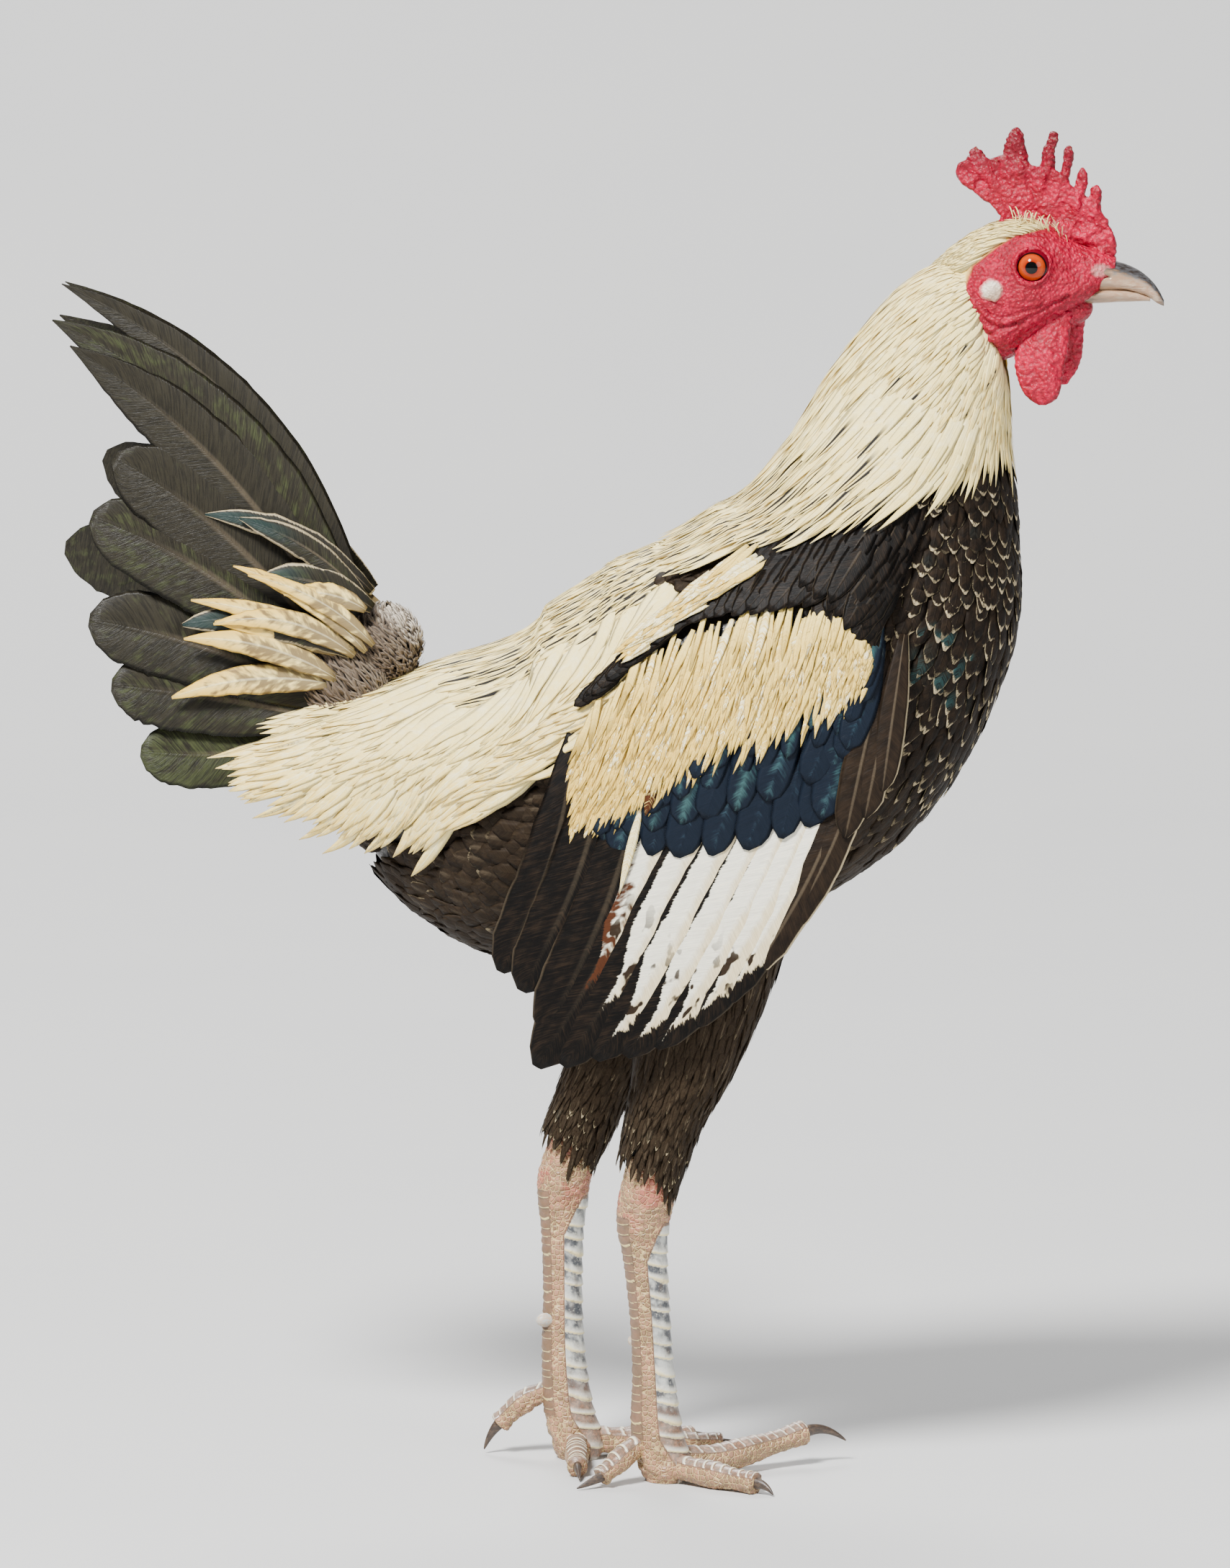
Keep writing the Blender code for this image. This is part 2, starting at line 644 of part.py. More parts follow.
def make_head():
    pieces = [skull_mesh("head")]
    cutters = [ball("mouth", MOUTH_AT, MOUTH_SIZE, 10, 6)]
    for name, side in SIDES:
        lid_at = (EYE_AT[0], side * 12.3, EYE_AT[2])
        pieces.append(torus(f"lid_{name}", lid_at, LID_RADIUS, LID_THICKNESS, side))
        cutters.append(ball(f"socket_{name}", eye_centre(side), [EYE_RADIUS + GAP] * 3))
    node("head", pieces, material("face_red", RED, 0.55), cutters)


def make_eyes_and_lobes():
    iris = material("eye_orange", ORANGE, 0.1)
    for name, side in SIDES:
        node(f"eye_{name}", [ball(f"eye_{name}", eye_centre(side), [EYE_RADIUS] * 3)], iris)
        lobe = ball(f"earlobe_{name}", (LOBE_AT[0], side * LOBE_AT[1], LOBE_AT[2]), LOBE_SIZE)
        node(f"earlobe_{name}", [lobe], material("lobe_ivory", IVORY, 0.6), [skull_mesh("lobe_skull", GAP)])


def make_beak():
    for name, rows, count in (("beak_upper", BEAK_UPPER, 9), ("beak_lower", BEAK_LOWER, 6)):
        mesh = through_rings(name, upright_rings(rows, np.linspace(0, 1, count), 10))
        cutters = [skull_mesh(name + "_skull", GAP)]
        if name == "beak_lower":
            cutters.append(through_rings("upper", upright_rings(BEAK_UPPER, np.linspace(0, 1, 9), 10, GAP)))
        else:
            nostril_x, nostril_y, nostril_z = NOSTRIL_AT
            for _, side in SIDES:
                at = (nostril_x, side * nostril_y, nostril_z)
                cutters.append(ball("nostril", at, NOSTRIL_SIZE, 6, 4))
        node(name, [mesh], material("beak_horn", HORN, 0.35), cutters)


def comb_outline():
    points = [COMB_BASE[-1], *COMB_FRONT]
    for tip_x, tip_z, half, notch_x, notch_z in COMB_POINTS:
        points += [(tip_x + half, tip_z - half), (tip_x, tip_z), (tip_x - half, tip_z - half * 0.6)]
        points.append((notch_x, notch_z))
    return points + list(COMB_BACK) + list(COMB_BASE[:-1])


def comb_plate():
    """The comb as a flat outline with rounded edges, thicker at its base than at its points."""
    curve = bpy.data.curves.new("comb", "CURVE")
    curve.dimensions = "2D"
    curve.fill_mode = "BOTH"
    curve.extrude = (COMB_HALF - COMB_EDGE) * MM
    curve.bevel_depth = COMB_EDGE * MM
    curve.bevel_resolution = 0
    spline = curve.splines.new("POLY")
    points = comb_outline()
    spline.points.add(len(points) - 1)
    for point, (x, z) in zip(spline.points, points):
        point.co = (x * MM, z * MM, 0, 1)
    spline.use_cyclic_u = True
    flat = new_object("comb_curve", curve)
    flat.rotation_euler = (math.pi / 2, 0, 0)
    bpy.context.view_layer.update()
    mesh = evaluated_mesh(flat)
    bpy.data.objects.remove(flat)
    build = bmesh.new()
    build.from_mesh(mesh)
    bmesh.ops.remove_doubles(build, verts=build.verts, dist=0.00002)
    bmesh.ops.recalc_face_normals(build, faces=build.faces)
    for vertex in build.verts:
        rise = (vertex.co.z / MM - COMB_BASE[0][1]) / (COMB_POINTS[-2][1] - COMB_BASE[0][1])
        vertex.co.y *= 1.35 - 0.75 * min(max(rise, 0), 1)
    build.to_mesh(mesh)
    build.free()
    return mesh


def make_comb():
    """The single comb, with a swelling under each of its points."""
    pieces = [comb_plate()]
    for tip_x, tip_z, _, _, _ in COMB_POINTS[:-1]:
        foot = np.array([COMB_MIDDLE[0], COMB_MIDDLE[1]])
        way = np.array([tip_x, tip_z]) - foot
        middle = foot + way * 0.52
        fold = ball("comb_fold", (0, 0, 0), (1.9, COMB_HALF + 0.5, np.linalg.norm(way) * 0.36), 6, 5)
        turn = math.atan2(way[0], way[1])
        fold.transform(mathutils.Matrix.Rotation(turn, 4, "Y"))
        fold.transform(mathutils.Matrix.Translation((middle[0] * MM, 0, middle[1] * MM)))
        pieces.append(fold)
    beak = through_rings("comb_beak", upright_rings(BEAK_UPPER, np.linspace(0, 1, 9), 10, GAP))
    node("comb", pieces, material("comb_red", RED, 0.5), [skull_mesh("comb_skull", GAP), beak])


def make_wattles():
    finish = material("wattle_red", RED, 0.5)
    for name, side in SIDES:
        rings = level_rings(WATTLE, np.linspace(0, 1, 10), 12, side)
        mesh = through_rings(f"wattle_{name}", rings)
        node(f"wattle_{name}", [mesh], finish, [skull_mesh("wattle_skull", GAP)])


def trunk_width(x, z):
    """How far the trunk's side lies from the mid plane at this place in the side view, or 0 outside it."""
    x, z = np.broadcast_arrays(np.asarray(x, float), np.asarray(z, float))
    places = np.linspace(0, 1, 300)
    rows = along(TRUNK, places)
    line = unit(np.gradient(rows[:, :2], axis=0))
    gap_x, gap_z = x[..., None] - rows[:, 0], z[..., None] - rows[:, 1]
    off = np.abs(gap_x * line[:, 0] + gap_z * line[:, 1])
    depth = gap_z * line[:, 0] - gap_x * line[:, 1]
    reach = np.where(depth > 0, rows[:, 3], rows[:, 4])
    share = np.where(off < 1.5, 1 - (depth / reach) ** 2, -1)
    return np.sqrt(np.maximum((share * (share > 0) * rows[:, 2] ** 2).max(-1), 0))


def wing_sheet(x, z):
    """How far the folded wing's outer face lies from the mid plane."""
    middle_x, middle_z, long, wide, above, below = WING_HANG
    high = np.where(np.asarray(z) > middle_z, above, below)
    share = 1 - ((x - middle_x) / long) ** 2 - ((z - middle_z) / high) ** 2
    hang = wide * np.sqrt(np.maximum(share, 0.05))
    close = trunk_width(x, z) + WING_PROUD
    soft = 2.0
    return soft * np.log(np.exp(hang / soft) + np.exp(close / soft)) - soft * 0.5


def arm_point(share, down):
    """A place on the wing's arm: share from front to back, down from its top edge to the coverts' tips."""
    top_x, top_z, bottom_x, bottom_z, bulge = along(WING_ARM, share)
    x = top_x + (bottom_x - top_x) * down + bulge * np.sin(math.pi * np.minimum(down, 1))
    return x, top_z + (bottom_z - top_z) * down


def wing_arm_mesh(name, side, grow=0.0):
    """The flesh of the folded wing and the roots of its coverts, as one smooth pad."""
    down = np.linspace(0, 1, 5)
    rings = []
    for number, share in enumerate(np.linspace(0, 1, 6)):
        x, z = arm_point(share, down)
        sink = np.interp(down, [0, 0.3, 1], [3.6, 1.6, 1.4]) + (3.0 if number == 0 else 0.0)
        outer = wing_sheet(x, z) - sink + grow
        inner = np.minimum(outer - 6, 24)
        x, z = x + grow * np.interp(share, [0, 1], [1, -1]), z + grow * np.interp(down, [0, 1], [1, -1])
        upper = np.stack([x, side * outer, z], -1)
        under = np.stack([x, side * inner, z], -1)[::-1]
        rings.append(np.concatenate([upper, under]))
    return through_rings(name, rings)


def wing_vane(name, side, x, z, sink, half, grow=0.0):
    """A feather on the wing's sheet, its front edge over the rear edge of the next one ahead."""
    middle = np.stack([x, side * (wing_sheet(x, z) - sink), z], -1)
    line = unit(np.gradient(middle, axis=0))
    out = np.tile([0.0, side, 0.0], (len(x), 1))
    ahead = unit(np.cross(line, out))
    ahead = ahead * np.where(ahead[:, :1] > 0, 1, -1)
    return vane(name, middle, unit(ahead + out * FLIGHT_TILT), out, half, grow)


def flight_mesh(name, side, feather, grow=0.0):
    root_x, root_z, tip_x, tip_z, half = feather
    place = np.array([0, 0.35, 0.9, 1.0])
    x, z = root_x + (tip_x - root_x) * place, root_z + (tip_z - root_z) * place
    x = x + 1.5 * np.sin(math.pi * place)
    sink = np.interp(place, [0, 0.3, 0.55, 1], [5.0, 2.6, 1.6, 1.0])
    width = np.array([0.6, 1, 0.85, 0.35]) * half
    return wing_vane(name, side, x, z, sink, width, grow)


def covert_meshes(name, side):
    """Tiers of coverts that hang down over the roots of the flight feathers."""
    meshes = []
    for tier, (root, tip, count) in enumerate(WING_TIERS):
        for number in range(count):
            share = (number + 0.5) / count
            x, z = arm_point(share, root + (tip - root) * np.array([0, 0.4, 0.85, 1.0]))
            half = COVERT_WIDTH / count / 2 * np.array([0.6, 1.0, 0.85, 0.3])
            sink = np.array([3.5, 0.6, 0.0, 0.0]) + 0.4 * (1 - tier)
            meshes.append(wing_vane(f"covert_{name}_{tier}_{number}", side, x, z, sink, half))
    return meshes


def make_wings():
    for name, side in SIDES:
        pieces = [wing_arm_mesh(f"wing_{name}", side), *covert_meshes(name, side)]
        pieces += [flight_mesh(f"flight_{name}", side, feather) for feather in WING_FEATHERS]
        node(f"wing_{name}", pieces, material("wing_black", BLACK), [trunk_mesh("wing_trunk", GAP)])


def tail_vane(name, side, feather):
    """A tail feather, its lower edge over the upper edge of the next one down."""
    root_x, root_z, tip_x, tip_z, bulge, half, root_y, tip_y = feather
    place = np.array([0, 0.3, 0.6, 0.9, 1.0])
    way = unit(np.array([tip_x - root_x, tip_z - root_z]))
    lift = bulge * 4 * place * (1 - place)
    x = root_x + (tip_x - root_x) * place + way[1] * lift
    z = root_z + (tip_z - root_z) * place - way[0] * lift
    middle = np.stack([x, side * (root_y + (tip_y - root_y) * place), z], -1)
    line = unit(np.gradient(middle, axis=0))
    out = np.tile([0.0, side, 0.0], (len(place), 1))
    down = np.cross(line, out) * side
    down = unit(down * np.where(down[:, 2:] < 0, 1, -1))
    across = unit(down + out * TAIL_TILT)
    width = np.interp(place, [0, 0.25, 0.5, 0.9, 1], [0.35, 0.75, 1, 0.9, 0.42]) * half
    return vane(name, middle, across, out, width)


def tail_core(name, number, grow=0.0):
    at, sizes = TAIL_CORES[number]
    return ball(f"{name}_{number}", at, [size + grow for size in sizes])


def make_tail():
    pieces = [tail_core("tail_core", number) for number in range(len(TAIL_CORES))]
    for name, side in SIDES:
        rows = list(TAIL_FEATHERS)
        for number, tip in TAIL_LOOSE if side > 0 else ():
            rows[number] = (*rows[number][:2], *tip, *rows[number][4:])
        pieces += [tail_vane(f"tail_{name}", side, row) for row in (*rows, *TAIL_COVERTS)]
    node("tail", pieces, material("tail_black", GREEN_BLACK, 0.45), [trunk_mesh("tail_trunk", GAP)])


def leg_mesh(name, rows, side):
    return through_rings(name, level_rings(rows, np.linspace(0, 1, 10), 12, side))


def shank_mesh(name, rows, side, grow=0.0):
    """The shank and the pad of the foot, with overlapping scutes down its front and its back."""
    bounds = np.linspace(*SCUTE_SPAN, SCUTES + 1)
    places = [0.0]
    steps = [0.0]
    for top, bottom in zip(bounds, bounds[1:]):
        places += [top, bottom - SCUTE_EDGE]
        steps += [0.0, SCUTE_STEP]
    places += [bounds[-1], 0.88, 0.95, 1.0]
    steps += [0.0] * 4
    angles = np.arange(SHANK_SIDES) * 2 * math.pi / SHANK_SIDES
    front = np.sign(np.cos(angles)) * np.maximum(np.abs(np.cos(angles)) - 0.4, 0) / 0.6
    rings = level_rings(rows, places, SHANK_SIDES, side, grow)
    for ring, step in zip(rings, steps):
        ring[:, 0] += front * step
    return through_rings(name, rings)


def spur_mesh(name, rows, side):
    """A young bird's spur: a rounded bud on the inner side of the shank's back."""
    z, x, y, long, wide = along(rows, SPUR_PLACE)
    way = unit(np.array([-0.8, -0.6 * side, 0.05]))
    across = unit(np.cross([0, 0, 1], way))
    over = np.cross(way, across)
    angles = np.arange(8) * 2 * math.pi / 8
    rings = []
    for reach, size in SPUR:
        centre = np.array([x, side * y, z]) + way * reach
        rings.append(centre + size * (np.outer(np.cos(angles), across) + np.outer(np.sin(angles), over)))
    return through_rings(name, rings)


def toe_rings(line, first, last, places, grow=0.0):
    """A toe along its line, with knuckles and swollen pads, flat below where it rests on the floor."""
    centres = along(line, places)
    ways = unit(np.gradient(centres, axis=0))
    angles = np.arange(TOE_SIDES) * 2 * math.pi / TOE_SIDES
    rings = []
    for centre, way, place in zip(centres, ways, places):
        across = unit(np.cross([0, 0, 1], way))
        over = np.cross(way, across)
        wide = (first + (last - first) * place) * (1 + 0.09 * math.cos(place * 4 * math.pi)) + grow
        ring = centre + wide * (np.outer(np.cos(angles), across) + np.outer(np.sin(angles), over))
        rings.append(off_the_floor(ring, over, -grow))
    return rings


def off_the_floor(ring, over, floor):
    """The ring with what lies under the floor slid up in its own plane."""
    lift = np.maximum(floor - ring[:, 2], 0) / over[2]
    return ring + lift[:, None] * over


def claw_mesh(name, line, tip, half):
    """A claw that carries a toe's line on and curls down to its tip."""
    before, start = along(line, np.linspace(0, 1, TOE_STATIONS))[-2:]
    way = unit(start - before)
    start = start + way * GAP
    tip = np.array(tip, float)
    bend = start + way * np.linalg.norm(tip - start) * 0.5
    bend[2] += 0.8
    angles = np.arange(6) * 2 * math.pi / 6
    rings = []
    for place in np.linspace(0, 1, 5):
        centre = (1 - place) ** 2 * start + 2 * place * (1 - place) * bend + place**2 * tip
        ahead = unit((1 - place) * way + place * unit((1 - place) * (bend - start) + place * (tip - bend)))
        across = unit(np.cross([0, 0, 1], ahead))
        over = np.cross(ahead, across)
        size = half * (1 - place) ** 0.8 + 0.3
        ring = centre + size * (np.outer(0.85 * np.cos(angles), across) + np.outer(np.sin(angles), over))
        rings.append(off_the_floor(ring, over, 0.0))
    return through_rings(name, rings)


def make_foot(name, side, shank_rows, toes):
    horn = material("claw_horn", CLAW_BROWN, 0.4)
    skin = material("shank_slate", SLATE, 0.6)
    places = np.linspace(0, 1, TOE_STATIONS)
    done = []
    for toe, line, tip, first, last in toes:
        cutters = [shank_mesh("toe_shank", shank_rows, side, GAP)]
        cutters += [through_rings("toe_other", other) for other in done]
        mesh = through_rings(toe, toe_rings(line, first, last, places))
        node(f"toe_{name}_{toe}", [mesh], skin, cutters)
        done.append(toe_rings(line, first, last, places, GAP))
        node(f"claw_{name}_{toe}", [claw_mesh("claw", line, tip, last * 0.68)], horn)


def make_legs():
    coat = material("thigh_black", BLACK)
    for name, side, thigh, shank, toes in (
        ("right", -1, THIGH_RIGHT, SHANK_RIGHT, TOES_RIGHT),
        ("left", 1, THIGH_LEFT, SHANK_LEFT, TOES_LEFT),
    ):
        meshes = [leg_mesh(f"thigh_{name}", thigh, side)]
        level = ((-500, shank[0][0] + GAP), (500, shank[0][0] + GAP))
        cutters = [trunk_mesh("thigh_trunk", GAP), half_space("thigh_end", level, False)]
        node(f"thigh_{name}", meshes, coat, cutters)
        shank_finish = material("shank_slate", SLATE, 0.6)
        node(f"shank_{name}", [shank_mesh(f"shank_{name}", shank, side)], shank_finish)
        spur_cutter = [shank_mesh("spur_shank", shank, side, GAP)]
        spur_finish = material("spur_horn", HORN, 0.4)
        node(f"spur_{name}", [spur_mesh("spur", shank, side)], spur_finish, spur_cutter)
        make_foot(name, side, shank, toes)


def main():
    clear_scene()
    make_torso()
    make_neck()
    make_saddle()
    make_head()
    make_eyes_and_lobes()
    make_beak()
    make_comb()
    make_wattles()
    make_wings()
    make_tail()
    make_legs()


main()
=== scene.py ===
"""The looks of a life-size game bantam cock: skin, feathers, head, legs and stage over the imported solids.

Sizes are in millimetres and become metres where a mesh is made. +X is the way the beak points, +Y is
the bird's left side, and the origin is on the floor under the middle of the bird.
"""

import math

import bmesh
import bpy
import numpy as np
from bpy.props import FloatProperty, FloatVectorProperty, IntProperty, PointerProperty
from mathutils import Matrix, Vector


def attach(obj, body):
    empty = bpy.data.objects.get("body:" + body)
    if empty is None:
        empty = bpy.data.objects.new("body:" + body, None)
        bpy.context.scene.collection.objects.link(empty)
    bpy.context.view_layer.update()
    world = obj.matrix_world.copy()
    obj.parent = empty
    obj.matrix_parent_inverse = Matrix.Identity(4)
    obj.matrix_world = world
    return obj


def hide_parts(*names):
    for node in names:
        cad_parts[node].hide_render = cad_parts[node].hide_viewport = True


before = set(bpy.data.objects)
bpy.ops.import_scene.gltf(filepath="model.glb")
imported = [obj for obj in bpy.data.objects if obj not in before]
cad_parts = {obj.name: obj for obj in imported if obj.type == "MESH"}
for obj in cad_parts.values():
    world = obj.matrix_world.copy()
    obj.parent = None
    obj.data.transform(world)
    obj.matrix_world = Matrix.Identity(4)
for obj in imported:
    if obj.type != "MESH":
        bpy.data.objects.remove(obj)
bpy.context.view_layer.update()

bl_info = {
    "name": "Game bantam cock",
    "version": (1, 0, 0),
    "blender": (4, 5, 0),
    "location": "View3D > Sidebar > Bantam",
    "description": "Builds the skin, feathers, head, legs and stage of a standing game bantam cock",
    "category": "Object",
}

MM = 0.001
SIDES = (("right", -1), ("left", 1))

# The trunk, from the tail root to the skull, as sections square to its line in the bird's mid plane:
# x, z, half width, rise to the back, drop to the belly.
TRUNK = (
    (-62, 192, 16, 17, 25),
    (-40, 188, 28, 28, 43),
    (-12, 186, 39, 43.5, 51.5),
    (20, 193, 44, 52, 51),
    (47, 210, 43, 50.5, 51),
    (67, 234, 36, 44, 44),
    (78, 259, 27, 34.5, 33),
    (86, 282, 20, 29, 21.5),
    (94, 303, 15, 21.5, 14),
    (101, 316, 11, 13.2, 9),
)
TRUNK_LENGTH = 245.0
NECK_LINE = ((27, 245), (112, 256))  # the hackle hangs above this line, seen from the side
SADDLE_LINE = ((-72, 147), (27, 244))  # the saddle lies above and behind this one
SADDLE_LIE = (
    (-97, 182, 24.0, 19, 22),
    (-79, 184, 25.5, 20.5, 27),
    (-60, 187, 27.0, 22, 33),
    (-40, 188, 31.0, 29.5, 42),
    (-12, 186, 41.0, 45, 51),
    (20, 193, 46.0, 52.5, 52),
    (47, 210, 44.5, 50.5, 52),
    (67, 234, 37.0, 44.0, 45),
)
# The saddle's lower edge, from front to rear: place along it, angle from the back, then how far the
# root of a feather that ends there lies ahead in place and back in angle.
SADDLE_EDGE = (
    (0.600, 66, 0.165, 17),
    (0.464, 96, 0.150, 34),
    (0.343, 122, 0.130, 46),
    (0.179, 118, 0.164, 38),
    (0.043, 90, 0.207, 28),
    (0.000, 58, 0.236, 18),
)
HACKLE_END = 0.43  # the end of the lowest row beside the back, as a place along the trunk
# Where the hackle's lowest feathers end: degrees from the back, place along the trunk.
HACKLE_EDGE = (
    (0, 0.455),
    (36, HACKLE_END),
    (41, 0.500),
    (47, 0.537),
    (57, 0.582),
    (67, 0.612),
    (78, 0.640),
    (93, 0.672),
    (114, 0.702),
    (140, 0.728),
    (180, 0.748),
)
# How far the skin lies under the feathers of trunk and thighs and under the down of the domes.
SKIN_DEPTH, THIGH_DEPTH, DOME_DEPTH = 4.0, 3.2, 3.5
THROAT_LINE = ((89, 296), (118, 284))  # the skin is bare above this line, seen from the side

# The skull, as upright sections along x: x, z, half width, rise, drop.
SKULL = (
    (89, 315, 7.0, 9, 9),
    (95, 314, 11.5, 14.5, 16),
    (103, 315, 13.0, 17.5, 19),
    (111, 316, 12.6, 17.5, 17),
    (118, 316.5, 10.2, 14.5, 12),
    (124, 317, 7.4, 10, 8),
    (129, 318.5, 5.6, 6.6, 4.6),
    (133.6, 320.6, 3.4, 2.8, 1.6),
)
EYE_AT = (112.6, 8.9, 321.6)
EYE_RADIUS = 5.0
NOSE_AT = (130.0, 320.2)  # the pale skin before the nostril
# Where the bare face ends behind and above, from the throat up: z, x.
FACE_EDGE = (
    (290, 106),
    (299.4, 102),
    (304.2, 98.5),
    (309, 95.7),
    (316, 94.7),
    (321.6, 96.7),
    (326.4, 102.8),
    (329.4, 107.5),
    (331, 115),
    (332, 124),
)

# The folded wing: how far it lies off the trunk, and the ellipsoid that it hangs on below, by its
# middle x and z and its reach along x, outwards, up and down.
WING_PROUD = 4.0
WING_HANG = (20, 180, 150, 46, 100, 130)
WING_TOP = ((77, 247), (60, 252), (38, 243), (20, 231), (4, 218), (-10, 205))
BOW_TOP = ((70, 226), (61, 236), (42, 234), (25, 231), (9, 220), (-6, 206))
BOW_LOW = ((73, 219), (66, 209), (43, 198), (21, 189), (8, 180), (-5, 175))
BAR_LOW = ((63, 183), (57, 178.5), (41, 172.5), (24, 170.5), (8, 171), (-8, 166))
# Flight feathers from the innermost: root x, z, tip x, z, half width.
WING_FEATHERS = (
    (-3, 203, -23, 139, 6.5),
    (6, 201, -17.5, 134, 7.5),
    (16, 199, -12, 122, 8.0),
    (26, 198, -14, 113.5, 7.5),
    (36, 198, -7, 114, 7.5),
    (44, 198, 1.5, 116, 7.5),
    (52, 198, 9.5, 117, 7.2),
    (58, 198, 17.5, 119.5, 7.0),
    (63, 199, 26, 125, 6.5),
    (67, 201, 34, 131, 5.5),
    (70, 203, 43, 140, 4.8),
    (72, 205, 50, 149, 4.2),
)

# Tail feathers of one side, from the sickle down: root x, z, tip x, z, bulge, half width, y of both ends.
TAIL_FEATHERS = (
    (-64, 226, -143, 313.7, 13, 6.2, 2.0, 3.0),
    (-66, 222, -145, 304.5, 11, 10.0, 3.5, 6.5),
    (-68, 218, -140, 298.0, 8, 9.5, 4.5, 9.0),
    (-70, 214, -128, 269.0, 5, 11.0, 5.5, 11.5),
    (-71, 210, -134, 253.5, 5, 11.5, 6.5, 13.5),
    (-73, 205, -134.5, 226.5, 3, 11.0, 7.0, 15.0),
    (-74, 200, -128.5, 209.5, 1, 10.0, 7.0, 16.0),
    (-75, 194, -121, 192.0, -2, 9.0, 6.5, 15.0),
)
TAIL_COVERTS = (
    (-62, 232, -98.5, 253.8, 3, 5.0, 7.5, 11.5),
    (-61, 228, -86, 241.5, 2, 5.0, 9.0, 13.0),
    (-60, 220, -91, 236.0, 3, 4.2, 10.5, 15.0),
    (-70, 220, -111, 228.0, 3, 6.0, 9.0, 15.5),
    (-64, 216, -96.5, 221.0, 2, 5.2, 10.0, 17.0),
    (-71, 210, -112, 208.5, 2, 6.5, 9.5, 17.5),
)
TAIL_COVERT_SPREAD = (1.2, 1.2, 6, 6, 1.2, 0.4, 0.2, 1.0)  # how much each of these numbers varies
TAIL_TIPS_LEFT = ((-134, 267), (-145, 242))  # where the fourth and fifth feathers of the left side end

THIGHS = {  # z, x, y from the mid plane, half length, half width, from the top down
    "right": (
        (178, 36, 21, 24, 14),
        (161, 33, 22, 23, 14),
        (144, 30, 23, 20, 13),
        (126, 27, 23, 16.3, 11.5),
        (109, 22.5, 22.5, 13, 9.8),
        (97, 18, 21.8, 10.5, 8.4),
        (86, 14.8, 21, 9.1, 7.6),
    ),
    "left": (
        (178, 18, 21, 24, 14),
        (160, 14, 22, 21, 14),
        (142, 10, 23, 18, 13),
        (124, 5.5, 23, 14.5, 11.5),
        (108, 0, 22.5, 12, 9.8),
        (96, -5.8, 21.8, 10, 8.6),
        (86, -9.8, 21, 9.4, 7.8),
    ),
}

BLACK, BOW, BAR, WEB, EDGED, PALE = range(6)  # kinds of wing feather, kept as a feather's mark
RUSTY = 0.3  # added to the mark of a web with rust on it
TIP_SPREAD = 0.25  # how unevenly feather tips stand off
# BARB_SHADE darkens the colour for the painted shade between the barbs.
BARB_SHADE = (0.45, 0.42, 0.38)  # what is left of a colour between the barbs
FEATHER_SHAPES = {  # place along the feather and share of its half width
    "round": ((0, 0.5), (0.25, 0.85), (0.6, 1), (0.82, 0.86), (0.93, 0.58), (1, 0.14)),
    "pointed": ((0, 0.5), (0.3, 1), (0.6, 0.85), (0.85, 0.42), (1, 0.04)),
    "narrow": ((0, 0.6), (0.35, 1), (0.7, 0.9), (0.9, 0.55), (1, 0.08)),
    "broad": ((0, 0.3), (0.15, 0.62), (0.4, 0.95), (0.72, 1), (0.88, 0.86), (0.96, 0.55), (1, 0.16)),
    "sickle": (
        (0, 0.3), (0.15, 0.62), (0.36, 0.94), (0.56, 1), (0.74, 0.84), (0.87, 0.52), (0.95, 0.22), (1, 0.02),
    ),
    "slim": ((0, 0.3), (0.2, 0.8), (0.45, 1), (0.7, 0.74), (0.88, 0.36), (1, 0.03)),
}


def unit(vectors):
    """Vectors of length 1 in the same directions."""
    return vectors / np.maximum(np.linalg.norm(vectors, axis=-1, keepdims=True), 1e-9)


def along(rows, place):
    """The row at each place, 0 to 1, on a smooth curve through evenly placed rows, straight beyond them."""
    rows = np.asarray(rows, float)
    last = len(rows) - 1
    place = np.asarray(place, float)
    x = np.clip(place, 0, 1) * last
    slope = np.where(place[..., None] < 0.5, rows[1] - rows[0], rows[-1] - rows[-2])
    beyond = (place * last - x)[..., None] * slope
    i = np.minimum(x.astype(int), last - 1)
    f = (x - i)[..., None]
    before, here = rows[np.maximum(i - 1, 0)], rows[i]
    after, later = rows[i + 1], rows[np.minimum(i + 2, last)]
    return beyond + 0.5 * (
        2 * here
        + (after - before) * f
        + (2 * before - 5 * here + 4 * after - later) * f**2
        + (3 * here - before - 3 * after + later) * f**3
    )


def tube_lie(rows):
    """A surface round a line in the mid plane: place along it, angle from the back over the left side."""

    def point(place, angle, lift):
        row = along(rows, place)
        step = 0.004
        line = unit(along(rows, place + step)[..., :2] - along(rows, place - step)[..., :2])
        reach = (np.where(np.cos(angle) > 0, row[..., 3], row[..., 4]) + lift) * np.cos(angle)
        x, z = row[..., 0] - line[..., 1] * reach, row[..., 1] + line[..., 0] * reach
        return np.stack([x, (row[..., 2] + lift) * np.sin(angle), z], -1)

    return point


def upright_lie(rows):
    """A surface of upright sections across x: place along it, angle from the top over the left side."""

    def point(place, angle, lift):
        x, z, wide, rise, drop = np.moveaxis(along(rows, place), -1, 0)
        reach = (np.where(np.cos(angle) > 0, rise, drop) + lift) * np.cos(angle)
        return np.stack([x, (wide + lift) * np.sin(angle), z + reach], -1)

    return point


def level_lie(rows, side):
    """A surface of level sections: place down it, angle from the front over the left side."""

    def point(place, angle, lift):
        z, x, out, long, wide = np.moveaxis(along(rows, place), -1, 0)
        x, y = x + (long + lift) * np.cos(angle), side * out + (wide + lift) * np.sin(angle)
        return np.stack([x, y, z], -1)

    return point


